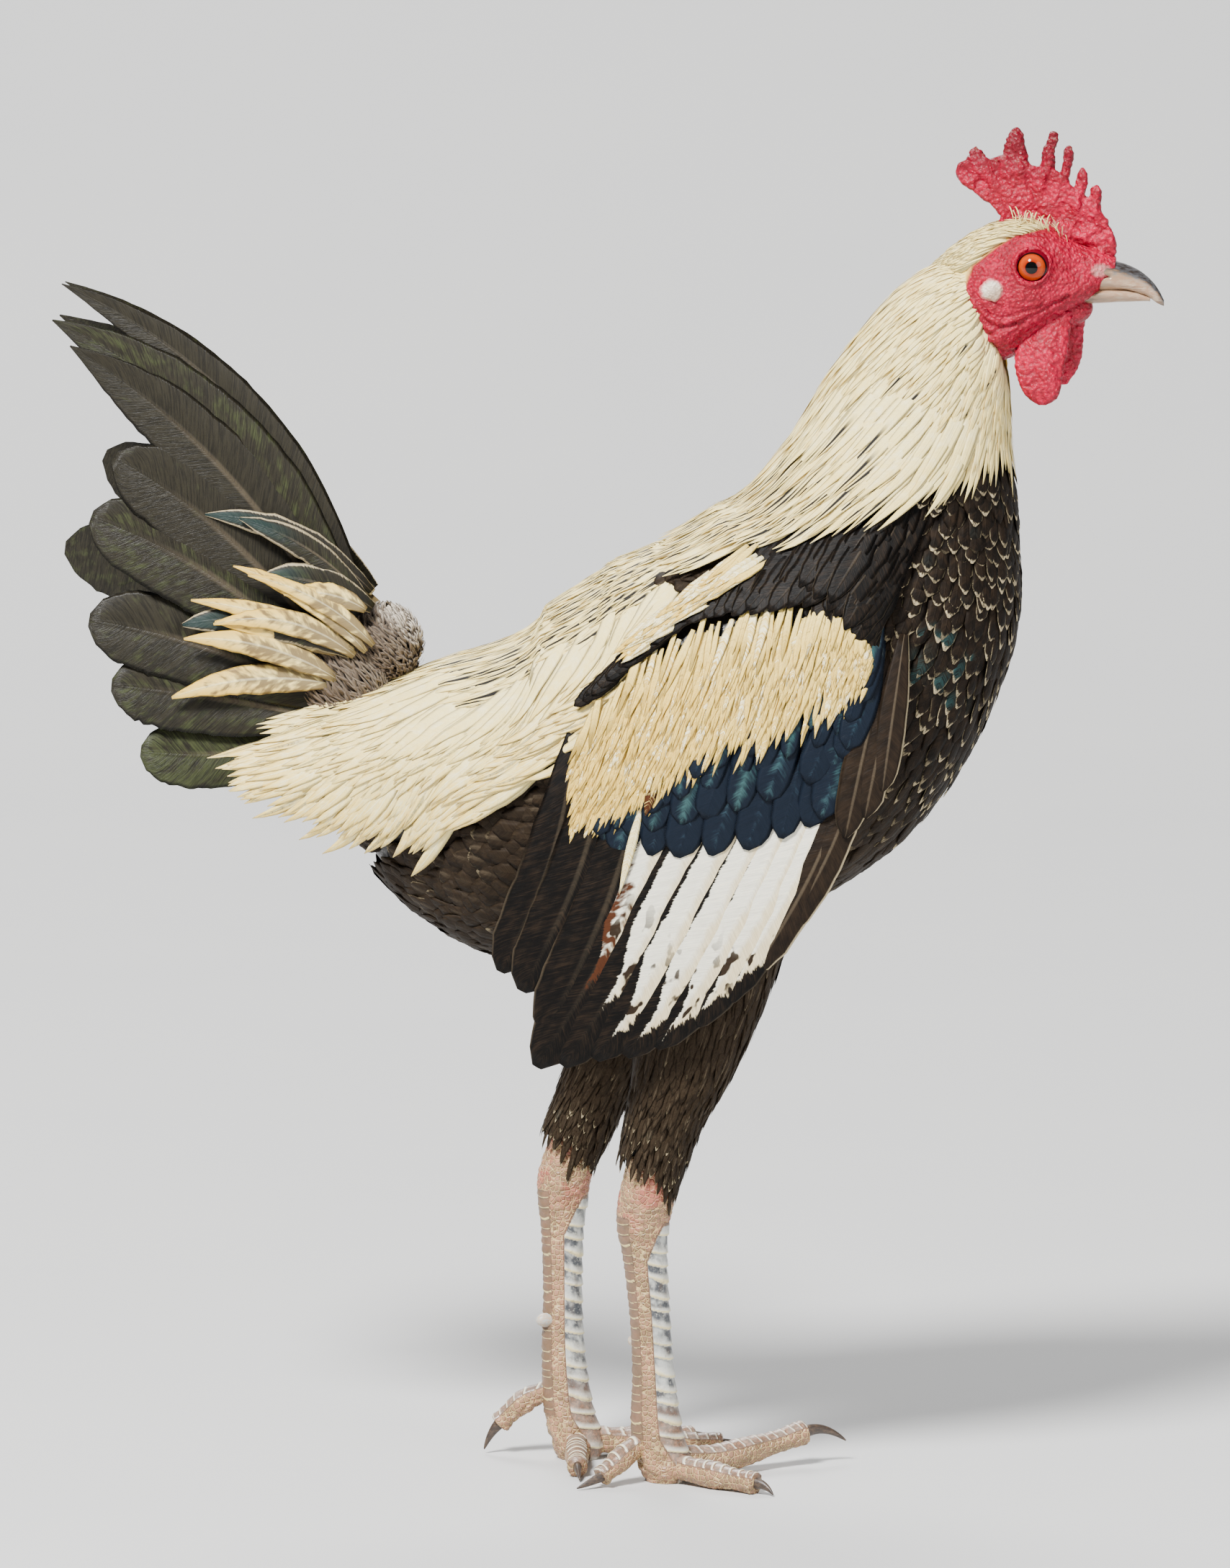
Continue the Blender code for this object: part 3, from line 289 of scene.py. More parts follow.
def trunk_width(x, z):
    """How far the trunk's side lies from the mid plane at this place in the side view, or 0 outside it."""
    x, z = np.broadcast_arrays(np.asarray(x, float), np.asarray(z, float))
    rows = along(TRUNK, np.linspace(0, 1, 200))
    line = unit(np.gradient(rows[:, :2], axis=0))
    gap_x, gap_z = x[..., None] - rows[:, 0], z[..., None] - rows[:, 1]
    off = gap_x * line[:, 0] + gap_z * line[:, 1]
    depth = gap_z * line[:, 0] - gap_x * line[:, 1]
    reach = np.where(depth > 0, rows[:, 3], rows[:, 4])
    share = 1 - (depth / reach) ** 2
    weight = np.exp(-((off / 1.6) ** 2) + 5 * share.clip(-1, 1)) + 1e-12
    mean = (weight * share * (rows[:, 2] ** 2)).sum(-1) / weight.sum(-1)
    return np.sqrt(np.maximum(mean, 0)) * (np.abs(off).min(-1) < 3)


def wing_sheet(x, z):
    """How far the folded wing's outer face lies from the mid plane."""
    middle_x, middle_z, long, wide, above, below = WING_HANG
    high = np.where(np.asarray(z) > middle_z, above, below)
    share = 1 - ((x - middle_x) / long) ** 2 - ((z - middle_z) / high) ** 2
    hang = wide * np.sqrt(np.maximum(share, 0.05))
    close = trunk_width(x, z) + WING_PROUD
    soft = 2.0
    return soft * np.log(np.exp(hang / soft) + np.exp(close / soft)) - soft * 0.5


def wing_lie(side):
    """The folded wing's outer face, by x and z."""

    def point(x, z, lift):
        return np.stack([x, side * (wing_sheet(x, z) + lift), z], -1)

    return point


def side_of(line, x, z):
    """How far a place lies above a line in the side view."""
    (x0, z0), (x1, z1) = line
    long = math.hypot(x1 - x0, z1 - z0)
    return ((x1 - x0) * (z - z0) - (z1 - z0) * (x - x0)) / long


def between(low_curve, high_curve, share, rise):
    """A place between two curves of the wing: share from front to back, rise from the low to the high one."""
    low, high = along(low_curve, share), along(high_curve, share)
    point = low + (high - low) * np.asarray(rise)[..., None]
    return point[..., 0], point[..., 1]


def build_mesh(name, points, corners, sizes, flat=None, maps=None, values=None):
    """A mesh from arrays: points in millimetres, polygon corners and polygon sizes."""
    mesh = bpy.data.meshes.new(name)
    mesh.vertices.add(len(points))
    mesh.vertices.foreach_set("co", (np.asarray(points) * MM).ravel())
    mesh.loops.add(len(corners))
    mesh.loops.foreach_set("vertex_index", corners)
    mesh.polygons.add(len(sizes))
    mesh.polygons.foreach_set("loop_start", np.concatenate([[0], np.cumsum(sizes)[:-1]]))
    smooth = np.ones(len(sizes), bool) if flat is None else ~np.asarray(flat)
    mesh.update(calc_edges=True)
    mesh.polygons.foreach_set("use_smooth", smooth)
    for key, value in (maps or {}).items():
        layer = mesh.uv_layers.new(name=key)
        layer.data.foreach_set("uv", np.asarray(value)[corners].ravel())
    for key, value in (values or {}).items():
        set_value(mesh, key, value)
    mesh.validate()
    return mesh


def loft_arrays(rings):
    """Points, corners and polygon sizes of a closed solid through rings, with flat ends."""
    rings = np.asarray(rings, float)
    stations, sides = rings.shape[:2]
    index = np.arange(stations * sides).reshape(stations, sides)
    turned = np.roll(index, -1, 1)
    quads = np.stack([index[:-1], turned[:-1], turned[1:], index[1:]], -1).reshape(-1, 4)
    corners = np.concatenate([quads.ravel(), index[0][::-1], index[-1]])
    sizes = np.concatenate([np.full(len(quads), 4), [sides, sides]])
    return rings.reshape(-1, 3), corners, sizes


def faced(mesh, triangles=False):
    """Turns the faces of closed forms outwards."""
    build = bmesh.new()
    build.from_mesh(mesh)
    bmesh.ops.recalc_face_normals(build, faces=build.faces)
    if triangles:
        bmesh.ops.triangulate(build, faces=build.faces)
    build.to_mesh(mesh)
    build.free()
    return mesh


def loft(name, rings, values=None):
    """A closed mesh through rings, with its faces outwards."""
    return faced(build_mesh(name, *loft_arrays(rings), values=values))


def linked(name, data, group=None):
    """A new object in the scene, or in a group of objects that stays out of it."""
    thing = bpy.data.objects.new(name, data)
    (group or bpy.context.scene.collection).objects.link(thing)
    return thing


def finished(thing, name):
    """The smooth plain mesh that an object's modifiers make. The object goes."""
    mesh = bpy.data.meshes.new_from_object(thing.evaluated_get(bpy.context.evaluated_depsgraph_get()))
    bpy.data.objects.remove(thing)
    mesh.name = name
    mesh.polygons.foreach_set("use_smooth", np.ones(len(mesh.polygons), bool))
    return mesh


def new_piece(name, mesh, replaced, material):
    """An object at the origin that rides on the bird and takes its finish from a material slot."""
    piece = linked(name, mesh)
    mesh.materials.clear()
    mesh.materials.append(bpy.data.materials[material])
    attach(piece, "root")
    if replaced:
        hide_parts(*replaced)


def outline(shape, s):
    """Half widths along a feather, as shares of its widest."""
    return np.interp(s, *zip(*FEATHER_SHAPES[shape]))[None]


def staggered(draw, count, number, jitter):
    """Shares, 0 to 1, of the feathers in a row. Every other row is half a feather further on."""
    return (np.arange(count) + 0.5 * (number % 2) + draw.normal(0, jitter, count)) / count


class Feathers:
    """Feathers gathered from several beds, to be joined into one mesh of thin closed vanes."""

    def __init__(self, seed, front=1):
        self.draw = np.random.default_rng(seed)
        self.front = front  # which way across a feather its map counts up
        self.points, self.corners, self.sizes, self.flat = [], [], [], []
        self.maps = {"Feather": [], "Barb": [], "OFBake": []}
        self.values = {"tone": [], "mark": [], "dark": []}
        self.count = 0

    def bed(self, lie, root, tip, half, shape, lift, bake, mark=0.0, dark=0.0, rows=6, bend=0.0, **options):
        """Feathers on a surface, from root to tip in its own two numbers."""
        root, tip = np.asarray(root, float), np.asarray(tip, float)
        number = len(root)
        if not number:
            return
        s = np.linspace(0, 1, rows) ** 0.92
        a, b = (root[:, None, k] + (tip - root)[:, None, k] * s for k in (0, 1))
        b = b + bend * np.sin(math.pi * s)
        low, high = (np.broadcast_to(value, number)[:, None] for value in lift)
        height = low + (high - low) * np.sin(math.pi / 2 * s) ** 0.8
        height = height + self.draw.normal(0, TIP_SPREAD, (number, 1)) * s**3
        centre = lie(a, b, height)
        step = 0.002 if np.abs(root).max() < 8 else 0.2  # of shares and angles, or of millimetres
        along_a = lie(a + step, b, height) - lie(a - step, b, height)
        along_b = lie(a, b + step, height) - lie(a, b - step, height)
        out = np.cross(along_a, along_b)
        above = lie(a, b, height + 1) - centre
        out = unit(out * np.sign((out * above).sum(-1, keepdims=True)))
        half = np.broadcast_to(half, number)[:, None]
        self.place(centre, out, outline(shape, s) * half, s, bake, mark, dark, **options)

    def vane(self, centre, side, profile, s, bake, mark, dark, **options):
        """One long feather that stands upright beside the bird."""
        out = np.tile([0.0, side, 0.0], (1, len(s), 1))
        self.place(centre[None], out, profile, s, [bake], mark, dark, **options)

    def place(self, centre, out, profile, s, bake, mark, dark, columns=5, camber=0.3, roll=5, fray=0.08,
              patch=0.003):
        """Adds feathers by their centre lines, outward directions and half widths, each (feathers, rows)."""
        number, rows = centre.shape[:2]
        draw = self.draw
        line = unit(np.gradient(centre, axis=1))
        across = unit(np.cross(line, out))
        up = np.cross(across, line)
        turn = np.radians(np.broadcast_to(roll, number) if np.ndim(roll) else draw.normal(0, roll, number))
        turn = turn[:, None, None]
        across, up = across * np.cos(turn) + up * np.sin(turn), up * np.cos(turn) - across * np.sin(turn)
        c = np.linspace(-1, 1, columns)
        ragged = 1 + draw.normal(0, fray, (number, rows, 2)) * (0.4 + s[None, :, None])
        width = np.where(c[None, None] < 0, ragged[..., :1], ragged[..., 1:]) * profile[..., None]
        grid = centre[:, :, None] + across[:, :, None] * (c * width)[..., None]
        grid = grid + up[:, :, None] * (camber * profile[..., None] * (1 - c**2))[..., None]
        index = np.arange(rows * columns).reshape(rows, columns)
        top = np.stack([index[:-1, :-1], index[:-1, 1:], index[1:, 1:], index[1:, :-1]], -1).reshape(-1, 4)
        under = np.stack([index[:-1, 0], index[1:, 0], index[1:, -1], index[:-1, -1]], -1)
        pattern = np.concatenate([top.ravel(), under.ravel(), index[0][::-1], index[-1]])
        sizes = np.concatenate([np.full(len(top) + len(under), 4), [columns, columns]])
        flat = np.concatenate([np.zeros(len(top), bool), np.ones(len(under) + 2, bool)])
        starts = self.count + np.arange(number) * rows * columns
        self.corners.append((pattern[None] + starts[:, None]).ravel())
        self.sizes.append(np.tile(sizes, number))
        self.flat.append(np.tile(flat, number))
        self.points.append(grid.reshape(-1, 3))
        self.count += number * rows * columns
        shape = (number, rows, columns)
        tone = draw.random(number)
        u = np.broadcast_to(c[None, None] * 0.5 * self.front + 0.5, shape)
        v = np.broadcast_to(s[None, :, None], shape)
        long = np.linalg.norm(np.diff(centre, axis=1), axis=-1).sum(1)[:, None, None]
        wide, own = profile.max(1)[:, None, None], tone[:, None, None]
        slant = np.abs(u - 0.5) * 1.6 * wide
        barb_u, barb_v = (u - 0.5) * 2 * wide / 10 + own * 7, (v * long - slant) / 10 + own * 5
        self.maps["Feather"].append(np.stack([u, v], -1).reshape(-1, 2))
        self.maps["Barb"].append(np.stack([barb_u, barb_v], -1).reshape(-1, 2))
        square = np.stack([u - 0.5, v - 0.5], -1) * np.broadcast_to(patch, 2)
        self.maps["OFBake"].append((np.asarray(bake, float)[:, None, None] + square).reshape(-1, 2))
        for key, value in (("tone", tone), ("mark", mark), ("dark", dark)):
            value = np.broadcast_to(value, number)[:, None, None]
            self.values[key].append(np.broadcast_to(value, shape).ravel())

    def piece(self, name, slot, material, *replaced):
        """Joins the feathers into one finished piece."""
        join = np.concatenate
        arrays = [join(part) for part in (self.points, self.corners, self.sizes, self.flat)]
        maps, values = ({key: join(part) for key, part in kept.items()} for kept in (self.maps, self.values))
        new_piece(name, build_mesh(name, *arrays, maps, values), replaced, material)


def operator(operation, flip=False):
    """A Python operator that adds a Math node."""
    return lambda self, other: self.math(operation, other, flip=flip)


class Value:
    """A shader socket that takes part in Python expressions."""

    def __init__(self, shader, socket):
        self.shader, self.socket = shader, socket

    def math(self, operation, *others, flip=False):
        """A Math node on this value and the others."""
        values = [self, *others]
        if flip:
            values.reverse()
        return self.shader.node("ShaderNodeMath", {"operation": operation}, dict(enumerate(values)))

    __add__ = __radd__ = operator("ADD")
    __mul__ = __rmul__ = operator("MULTIPLY")
    __sub__, __rsub__ = operator("SUBTRACT"), operator("SUBTRACT", True)
    __truediv__, __pow__ = operator("DIVIDE"), operator("POWER")

    def rise(self, low, high):
        """0 below low, 1 above high, and smooth between."""
        settings = {"interpolation_type": "SMOOTHSTEP"}
        sockets = {"Value": self, "From Min": low, "From Max": high}
        return self.shader.node("ShaderNodeMapRange", settings, sockets)


class Shader:
    """A material whose node tree is written as expressions."""

    def __init__(self, name, **fixed):
        self.material = bpy.data.materials.new(name)
        self.material.use_nodes = True
        self.tree = self.material.node_tree
        self.surface = self.tree.nodes["Principled BSDF"]
        for socket, value in fixed.items():
            self.surface.inputs[socket.replace("_", " ").title().replace("Ior", "IOR")].default_value = value
        source = self.node("ShaderNodeTexCoord", output="Object")
        # Where a point of the piece lies in millimetres, whole and as three numbers.
        self.whole = self.node("ShaderNodeVectorMath", {"operation": "SCALE"}, {0: source, 3: 1 / MM})
        self.x, self.y, self.z = self.split(self.whole)

    def node(self, kind, settings=None, inputs=None, output=0):
        """A node by its type, its settings and the values or links of its sockets."""
        node = self.tree.nodes.new(kind)
        for key, value in (settings or {}).items():
            setattr(node, key, value)
        for key, value in (inputs or {}).items():
            if isinstance(value, Value):
                self.tree.links.new(value.socket, node.inputs[key])
            else:
                socket = node.inputs[key]
                socket.default_value = (*value, 1) if socket.type == "RGBA" else value
        return Value(self, node.outputs[output])

    def mix(self, factor, first, second, blend="MIX"):
        """One colour over another, by a factor."""
        settings = {"data_type": "RGBA", "blend_type": blend}
        return self.node("ShaderNodeMix", settings, {0: factor, 6: first, 7: second}, 2)

    def attribute(self, name):
        """A number that the mesh keeps for each point."""
        return self.node("ShaderNodeAttribute", {"attribute_name": name}, output="Fac")

    def split(self, vector):
        """The three numbers of a vector."""
        first = self.node("ShaderNodeSeparateXYZ", inputs={0: vector})
        return [Value(self, socket) for socket in first.socket.node.outputs]

    def map(self, name):
        """The two numbers of a UV map."""
        return self.split(self.node("ShaderNodeUVMap", {"uv_map": name}))[:2]

    def vector(self, x, y, z=0.0):
        """A vector of three numbers."""
        return self.node("ShaderNodeCombineXYZ", inputs={0: x, 1: y, 2: z})

    def noise(self, vector, scale=1.0, detail=2.0, roughness=0.5):
        """A cloudy noise, 0 to 1."""
        sockets = {"Vector": vector, "Scale": scale, "Detail": detail, "Roughness": roughness}
        return self.node("ShaderNodeTexNoise", None, sockets)

    def cells(self, vector, scale, feature="F1", output="Distance", randomness=1.0):
        """A pattern of cells."""
        sockets = {"Vector": vector, "Scale": scale, "Randomness": randomness}
        return self.node("ShaderNodeTexVoronoi", {"feature": feature}, sockets, output)

    def bump(self, height, distance):
        """A normal that raises the surface by a height times a distance in millimetres."""
        sockets = {"Height": height, "Distance": distance * MM, "Strength": 1.0}
        return self.node("ShaderNodeBump", None, sockets)

    def finish(self, **links):
        """Links values to the surface, by the names of its sockets."""
        for key, value in links.items():
            self.tree.links.new(value.socket, self.surface.inputs[key.replace("_", " ").title()])


class Plume(Shader):
    """The common parts of every feather's finish: its place on the feather, barbs and shaft."""

    def __init__(self, name, **fixed):
        super().__init__(name, **fixed)
        u, self.v = self.map("Feather")
        self.u = u * 2.0 - 1.0
        self.edge = self.u.math("ABSOLUTE")
        across, down = self.map("Barb")
        self.tone, self.mark, self.dark = (self.attribute(key) for key in ("tone", "mark", "dark"))
        self.streak = self.noise(self.vector(across * 2.0, down * 22.0, self.tone * 9.0), 1.0, 3.0, 0.65)
        self.fine = self.noise(self.vector(across * 3.0, down * 60.0, self.tone * 3.0), 1.0, 2.0, 0.6)
        self.patchy = self.noise(self.vector(across * 3.5, down * 3.5, self.tone * 20.0), 1.0, 2.0, 0.5)
        self.shaft = 1.0 - self.edge.rise(0.03, 0.12)

    def dress(self, colour, barb_depth, roughness, spread, **links):
        """Paints shade between the barbs by darkening the colour there, and raises barbs and shaft."""
        shaded = self.mix(1.0, colour, BARB_SHADE, "MULTIPLY")
        colour = self.mix(self.streak.rise(0.62, 0.3) * spread, colour, shaded)
        height = self.fine * 0.6 + self.streak * 0.8 + self.shaft * 0.5
        self.surface.inputs["Roughness"].default_value = roughness
        self.finish(Base_Color=colour, Normal=self.bump(height, barb_depth), **links)


def straw_finish(look):
    """Hackle and saddle: cream with straw tips and, lower down, a dark streak along the shaft."""
    s = Plume("straw_plume", sheen_weight=0.05, specular_ior_level=0.2)
    base = s.mix(s.v.rise(0.3, 1.0) * 0.6, look.cream, look.straw)
    tips = (s.tone * 0.6 + s.mark * 1.2 + s.edge * 0.3).rise(0.5, 1.1) * s.v.rise(0.45, 0.95)
    base = s.mix(tips * 0.9, base, s.mix(0.4, look.straw, look.gold))
    base = s.mix(s.patchy.rise(0.4, 0.8) * 0.5, base, look.white)
    base = s.mix(s.shaft * s.mark * 1.2, base, look.white)
    width = 0.6 - s.v * 0.25
    streak = (1.0 - (s.edge / width).rise(0.5, 1.1)) * s.v.rise(0.5, 0.66) * (1.0 - s.v.rise(0.9, 0.98))
    base = s.mix(streak * (s.dark + s.streak * 0.4 - 0.2).rise(0.3, 0.7), base, look.dark)
    s.dress(base, 0.08, 0.6, 0.18)


def body_finish(look):
    """Breast, belly and thighs: black-brown with painted teal sheen in places, and cream edges where the mark
    says so.
    """
    s = Plume("body_plume", specular_ior_level=0.08)
    base = s.mix((s.patchy * 0.6 + s.streak * 0.4).rise(0.35, 0.7) * 0.8, look.dark, look.brown)
    base = s.mix(s.dark, base, s.mix(s.streak.rise(0.3, 0.7), look.brown, look.thigh))
    # Painted teal sheen near the tips of some feathers, most of it round x 89, z 218 on the breast beside the
    # wing.
    near = 1.0 - (((s.x - 89.0) / 11.0) ** 2.0 + ((s.z - 218.0) / 13.0) ** 2.0).rise(0.3, 1.2)
    sheen = (s.tone + near * 0.5).rise(0.9, 1.2) * s.mark.rise(0.1, 0.6)
    base = s.mix(sheen * s.v.rise(0.55, 0.85) * s.streak.rise(0.35, 0.55) * 0.55, base, look.teal)
    ragged = s.streak * 0.3 - 0.15
    tip = (s.v + s.edge * s.edge * 0.06 + ragged * 0.5).rise(0.92, 0.97)
    rim = (s.edge + ragged * 0.8).rise(0.82, 0.96) * s.v.rise(0.65, 0.85)
    lace = tip.math("MAXIMUM", rim * 0.5) * (s.fine * 0.6 + s.patchy * 0.4).rise(0.38, 0.52)
    base = s.mix(lace * (s.mark + s.tone * 0.7 - 0.45).rise(0.2, 0.7), base, look.lace)
    pale = (1.0 - (s.edge * 3.0).rise(0.2, 1.0)) * s.dark * s.tone.rise(0.5, 0.95) * s.v.rise(0.4, 0.9)
    base = s.mix(pale * 0.4, base, look.drab)
    s.dress(base, 0.1, 0.6, 0.3)


def wing_finish(look):
    """Bow, bar, coverts and flight feathers: mark picks the kind and dark how much black there is."""
    s = Plume("wing_plume", specular_ior_level=0.1, coat_roughness=0.25)
    kinds = (BOW, BAR, WEB, EDGED, PALE)
    bow, bar, web, edged, pale = (
        (s.mark - float(kind)).math("ABSOLUTE").math("LESS_THAN", 0.5) for kind in kinds
    )
    rear = 1.0 - s.x.rise(5.0, 60.0)
    gold = s.mix(s.v.rise(0.1, 0.8) * 0.5 + s.tone * 0.3 + rear * 0.25, look.straw, look.gold)
    gold = s.mix(s.fine.rise(0.45, 0.75) * 0.6, gold, look.cream)
    # Painted white glints along some streaks of the bow feathers.
    gold = s.mix((s.streak * s.tone).rise(0.42, 0.54) * 0.9, gold, look.white)
    gold = s.mix(s.streak.rise(0.42, 0.25) * 0.5, gold, look.rust)
    night = s.mix((s.streak * 0.6 + s.patchy * 0.4).rise(0.42, 0.75) * 0.75, look.night, look.brown)
    night = s.mix(s.edge.rise(0.9, 0.99) * s.v.rise(0.4, 0.8) * 0.3, night, look.drab)
    night = s.mix(s.shaft * s.v.rise(1.0, 0.4) * 0.12, night, look.drab)
    # Painted glints of blue and teal over the navy bar feathers; the coat's gloss follows the same mask.
    bar_glint = (s.patchy * 0.6 + s.streak * 0.45 + s.tone * 0.3 - s.v * 0.15 - s.edge * 0.35).rise(0.45, 0.85)
    glint_hue = s.mix((s.tone * 0.6 + s.patchy * 0.5).rise(0.4, 0.8), look.blue, look.teal)
    base = s.mix(bow, night, gold)
    base = s.mix(bar, base, s.mix(bar_glint, look.navy, glint_hue))
    ivory = s.mix(s.streak.rise(0.35, 0.65), look.straw, look.white)
    flecks = s.patchy * 0.14 + s.streak * 0.12 - 0.13
    ivory = s.mix(s.fine.rise(0.55, 0.8) * 0.6, ivory, look.drab)
    base = s.mix(pale, base, s.mix(s.dark * s.streak.rise(0.3, 0.5), ivory, look.rust))
    narrowing = s.v * 0.1 + (s.v - s.dark + 0.2).rise(0.0, 0.2) * 0.5
    front = (s.u + 0.6 - narrowing + flecks * 1.5).rise(-0.02, 0.02)
    end = 1.0 - (s.v + flecks + s.u * 0.16 - 0.05 - s.dark).rise(-0.01, 0.01)
    white = s.mix((s.u + s.patchy * 0.3).rise(0.05, 0.35) * 0.8, look.web, look.ivory)
    white = s.mix(s.streak.rise(0.5, 0.75) * 0.4, white, look.white)
    rusty = (s.mark - (WEB + RUSTY / 2)).math("GREATER_THAN", 0.0)
    rust = rusty * (s.patchy * 0.8 + s.v * 1.2 - s.u * 0.3).rise(0.95, 1.15)
    web_colour = s.mix(rust, white, look.rust)
    spot = s.noise(s.vector(s.u * 2.2, s.v * 14.0, s.tone * 30.0))
    ragged = (s.v - s.dark + 0.32).rise(0.0, 0.2) * (0.75 - s.u).rise(0.0, 0.5)
    web_colour = s.mix(spot.rise(0.58, 0.63) * ragged, web_colour, look.brown)
    # Painted shadow: a thin umber line along the front edge of each white web, where the feathers overlap.
    web_colour = s.mix(s.u.rise(0.9, 1.0) * 0.85, web_colour, look.umber)
    base = s.mix(web * front * end, base, web_colour)
    base = s.mix(edged * s.patchy * 0.9, base, look.brown)
    base = s.mix(edged * s.u.rise(0.86, 0.96), base, look.lace)
    base = s.mix(edged * s.shaft * 0.2, base, look.drab)
    base = s.mix(s.dark * bow * s.v.rise(0.3, 0.9), base, look.dark)
    s.dress(base, 0.1, 0.46, 0.3, Coat_Weight=bar * bar_glint * 0.7)


def tail_finish(look):
    """Tail: black and olive brown with painted green glints, fine barbs, pale shafts and, on some coverts,
    cream or gold rims and painted teal sheen.
    """
    s = Plume("tail_plume", specular_ior_level=0.2)
    # Painted green glints in patches, more of them on the lower feathers.
    glint = (s.patchy * 0.8 + s.tone * 0.25 + s.streak * 0.3 + s.z.rise(240.0, 200.0) * 0.15).rise(0.7, 1.0)
    night = s.mix(glint * 0.8, look.tail, look.green)
    base = s.mix(s.streak.rise(0.6, 0.35) * 0.55, night, look.night)
    base = s.mix(s.edge.rise(0.85, 1.0) * 0.35, base, look.night)
    base = s.mix(s.v.rise(0.3, 0.0) * 0.7, base, look.night)
    base = s.mix(s.shaft * s.v.rise(0.9, 0.3) * 0.25, base, look.drab)
    rim = (s.edge + s.v * 0.15 + s.streak * 0.3).rise(1.02, 1.14)
    base = s.mix(rim * s.mark.rise(0.2, 0.5) * 0.6, base, look.lace)
    # Painted teal sheen down the middle of the coverts.
    base = s.mix(s.mark * (1.0 - s.edge.rise(0.5, 0.8)) * s.v.rise(0.5, 0.9) * 0.3, base, look.teal)
    freckle = s.patchy * 1.1 + s.fine * 0.2 - s.v * 0.5 - s.edge * 0.1
    gold = s.mix((s.v * 0.5 + s.edge * 0.3 + s.streak * 0.4).rise(0.3, 0.9), look.cream, look.gold)
    gold = s.mix(freckle.rise(0.22, 0.5) * 0.85, gold, look.umber)
    gold = s.mix(s.shaft * 0.25, gold, look.white)
    base = s.mix(s.dark, base, gold)
    s.dress(base, 0.12, 0.38, 0.3)


def fluff_finish(look):
    """Down at the tail's root, pale above and brown behind."""
    s = Plume("down_plume", sheen_weight=0.1)
    base = s.mix(s.v.rise(0.0, 1.0) * (s.tone * 0.5 + 0.3) * (1.0 - s.dark * 0.6), look.umber, look.drab)
    high = (s.x * 0.7 + s.z - 184.0 + s.tone * 4.0).rise(2.0, 9.0)
    base = s.mix(high * s.v.rise(0.2, 1.0) * 0.85, base, look.lobe)
    s.dress(base, 0.1, 0.85, 0.2)


def bare_skin(s, look, cell, cloud, spread):
    """Crimson skin with painted shade in wine between its pebbles and a painted pink highlight on their tops,
    with the pebbles and their height.
    """
    pebble = s.cells(s.whole, cell, "SMOOTH_F1")
    red = s.mix(s.noise(s.whole, cloud, 2.0).rise(0.35, spread), look.crimson, look.rose)
    # Painted shade between the pebbles, then a painted highlight on their tops.
    red = s.mix(pebble.rise(0.3, 0.55) * 0.5, red, look.wine)
    red = s.mix(pebble.rise(0.26, 0.06) * 0.3, red, look.pink)
    return red, pebble.rise(0.5, 0.1), (1.0 - pebble) * 0.9


def skin_finish(look):
    """Bare face of crimson pebbled skin with painted shade in its folds, and dull skin under the feathers."""
    s = Shader("bird_skin", subsurface_weight=0.05, subsurface_scale=0.001, specular_ior_level=0.3)
    red, top, height = bare_skin(s, look, 1.25, 0.25, 0.7)
    bare = s.attribute("bare")
    # Painted shade in wine along the face's folds.
    red = s.mix(s.attribute("fold").rise(0.0, 1.0) * 0.8, red, look.wine)
    nose = 1.0 - ((s.x - NOSE_AT[0]) ** 2.0 + (s.z - NOSE_AT[1]) ** 2.0 * 2.0).rise(1.5, 9.0)
    red = s.mix(nose * 0.22, red, look.lobe)
    under = s.mix((s.z * -1.0 - s.x * 0.4).rise(-290.0, -255.0), look.straw, look.dark)
    height = (height + s.noise(s.whole, 3.0, 3.0, 0.6) * 0.3) * (bare * 0.85 + 0.15)
    s.finish(Base_Color=s.mix(bare, under, red), Roughness=0.42 - top * 0.2, Normal=s.bump(height, 0.7))


def comb_finish(look):
    """Comb and wattles: crimson and pebbled, wine-dark and partly drab towards the points."""
    s = Shader("comb_flesh", subsurface_weight=0.05, subsurface_scale=0.001, specular_ior_level=0.3)
    colour, top, height = bare_skin(s, look, 1.05, 0.2, 0.65)
    colour = s.mix(s.z.rise(339.0, 353.0) * 0.85, colour, look.wine)
    dry = s.noise(s.whole, 0.9, 3.0).rise(0.55, 0.75) * s.z.rise(343.0, 352.0)
    colour = s.mix(dry * 0.4, colour, look.drab)
    height = height + s.noise(s.whole, 2.6, 3.0) * 0.35
    s.finish(Base_Color=colour, Roughness=0.38 - top * 0.16, Normal=s.bump(height, 0.7))


def lobe_finish(look):
    """Ear lobe: white with painted shade in horn colour over its lower front, and fading into the face at its
    rim.
    """
    s = Shader("ear_lobe", subsurface_weight=0.1, subsurface_scale=0.002)
    cloud = s.noise(s.whole, 0.45, 3.0)
    # Painted shade over the lobe's lower front part.
    low = (s.x * 0.6 - s.z * 0.8 + cloud * 3.0 + 192.0).rise(0.6, 4.0)
    colour = s.mix(low * 0.8, look.lobe, look.horn)
    reach = ((s.x - LOBE_AT[0]) ** 2.0 + (s.z - LOBE_AT[2]) ** 2.0) ** 0.5
    colour = s.mix((reach + cloud * 1.6).rise(2.9, 3.9) * 0.85, colour, look.rose)
    height = s.cells(s.whole, 1.6)
    s.finish(Base_Color=colour, Roughness=s.noise(s.whole) * 0.2 + 0.45, Normal=s.bump(height, 0.3))


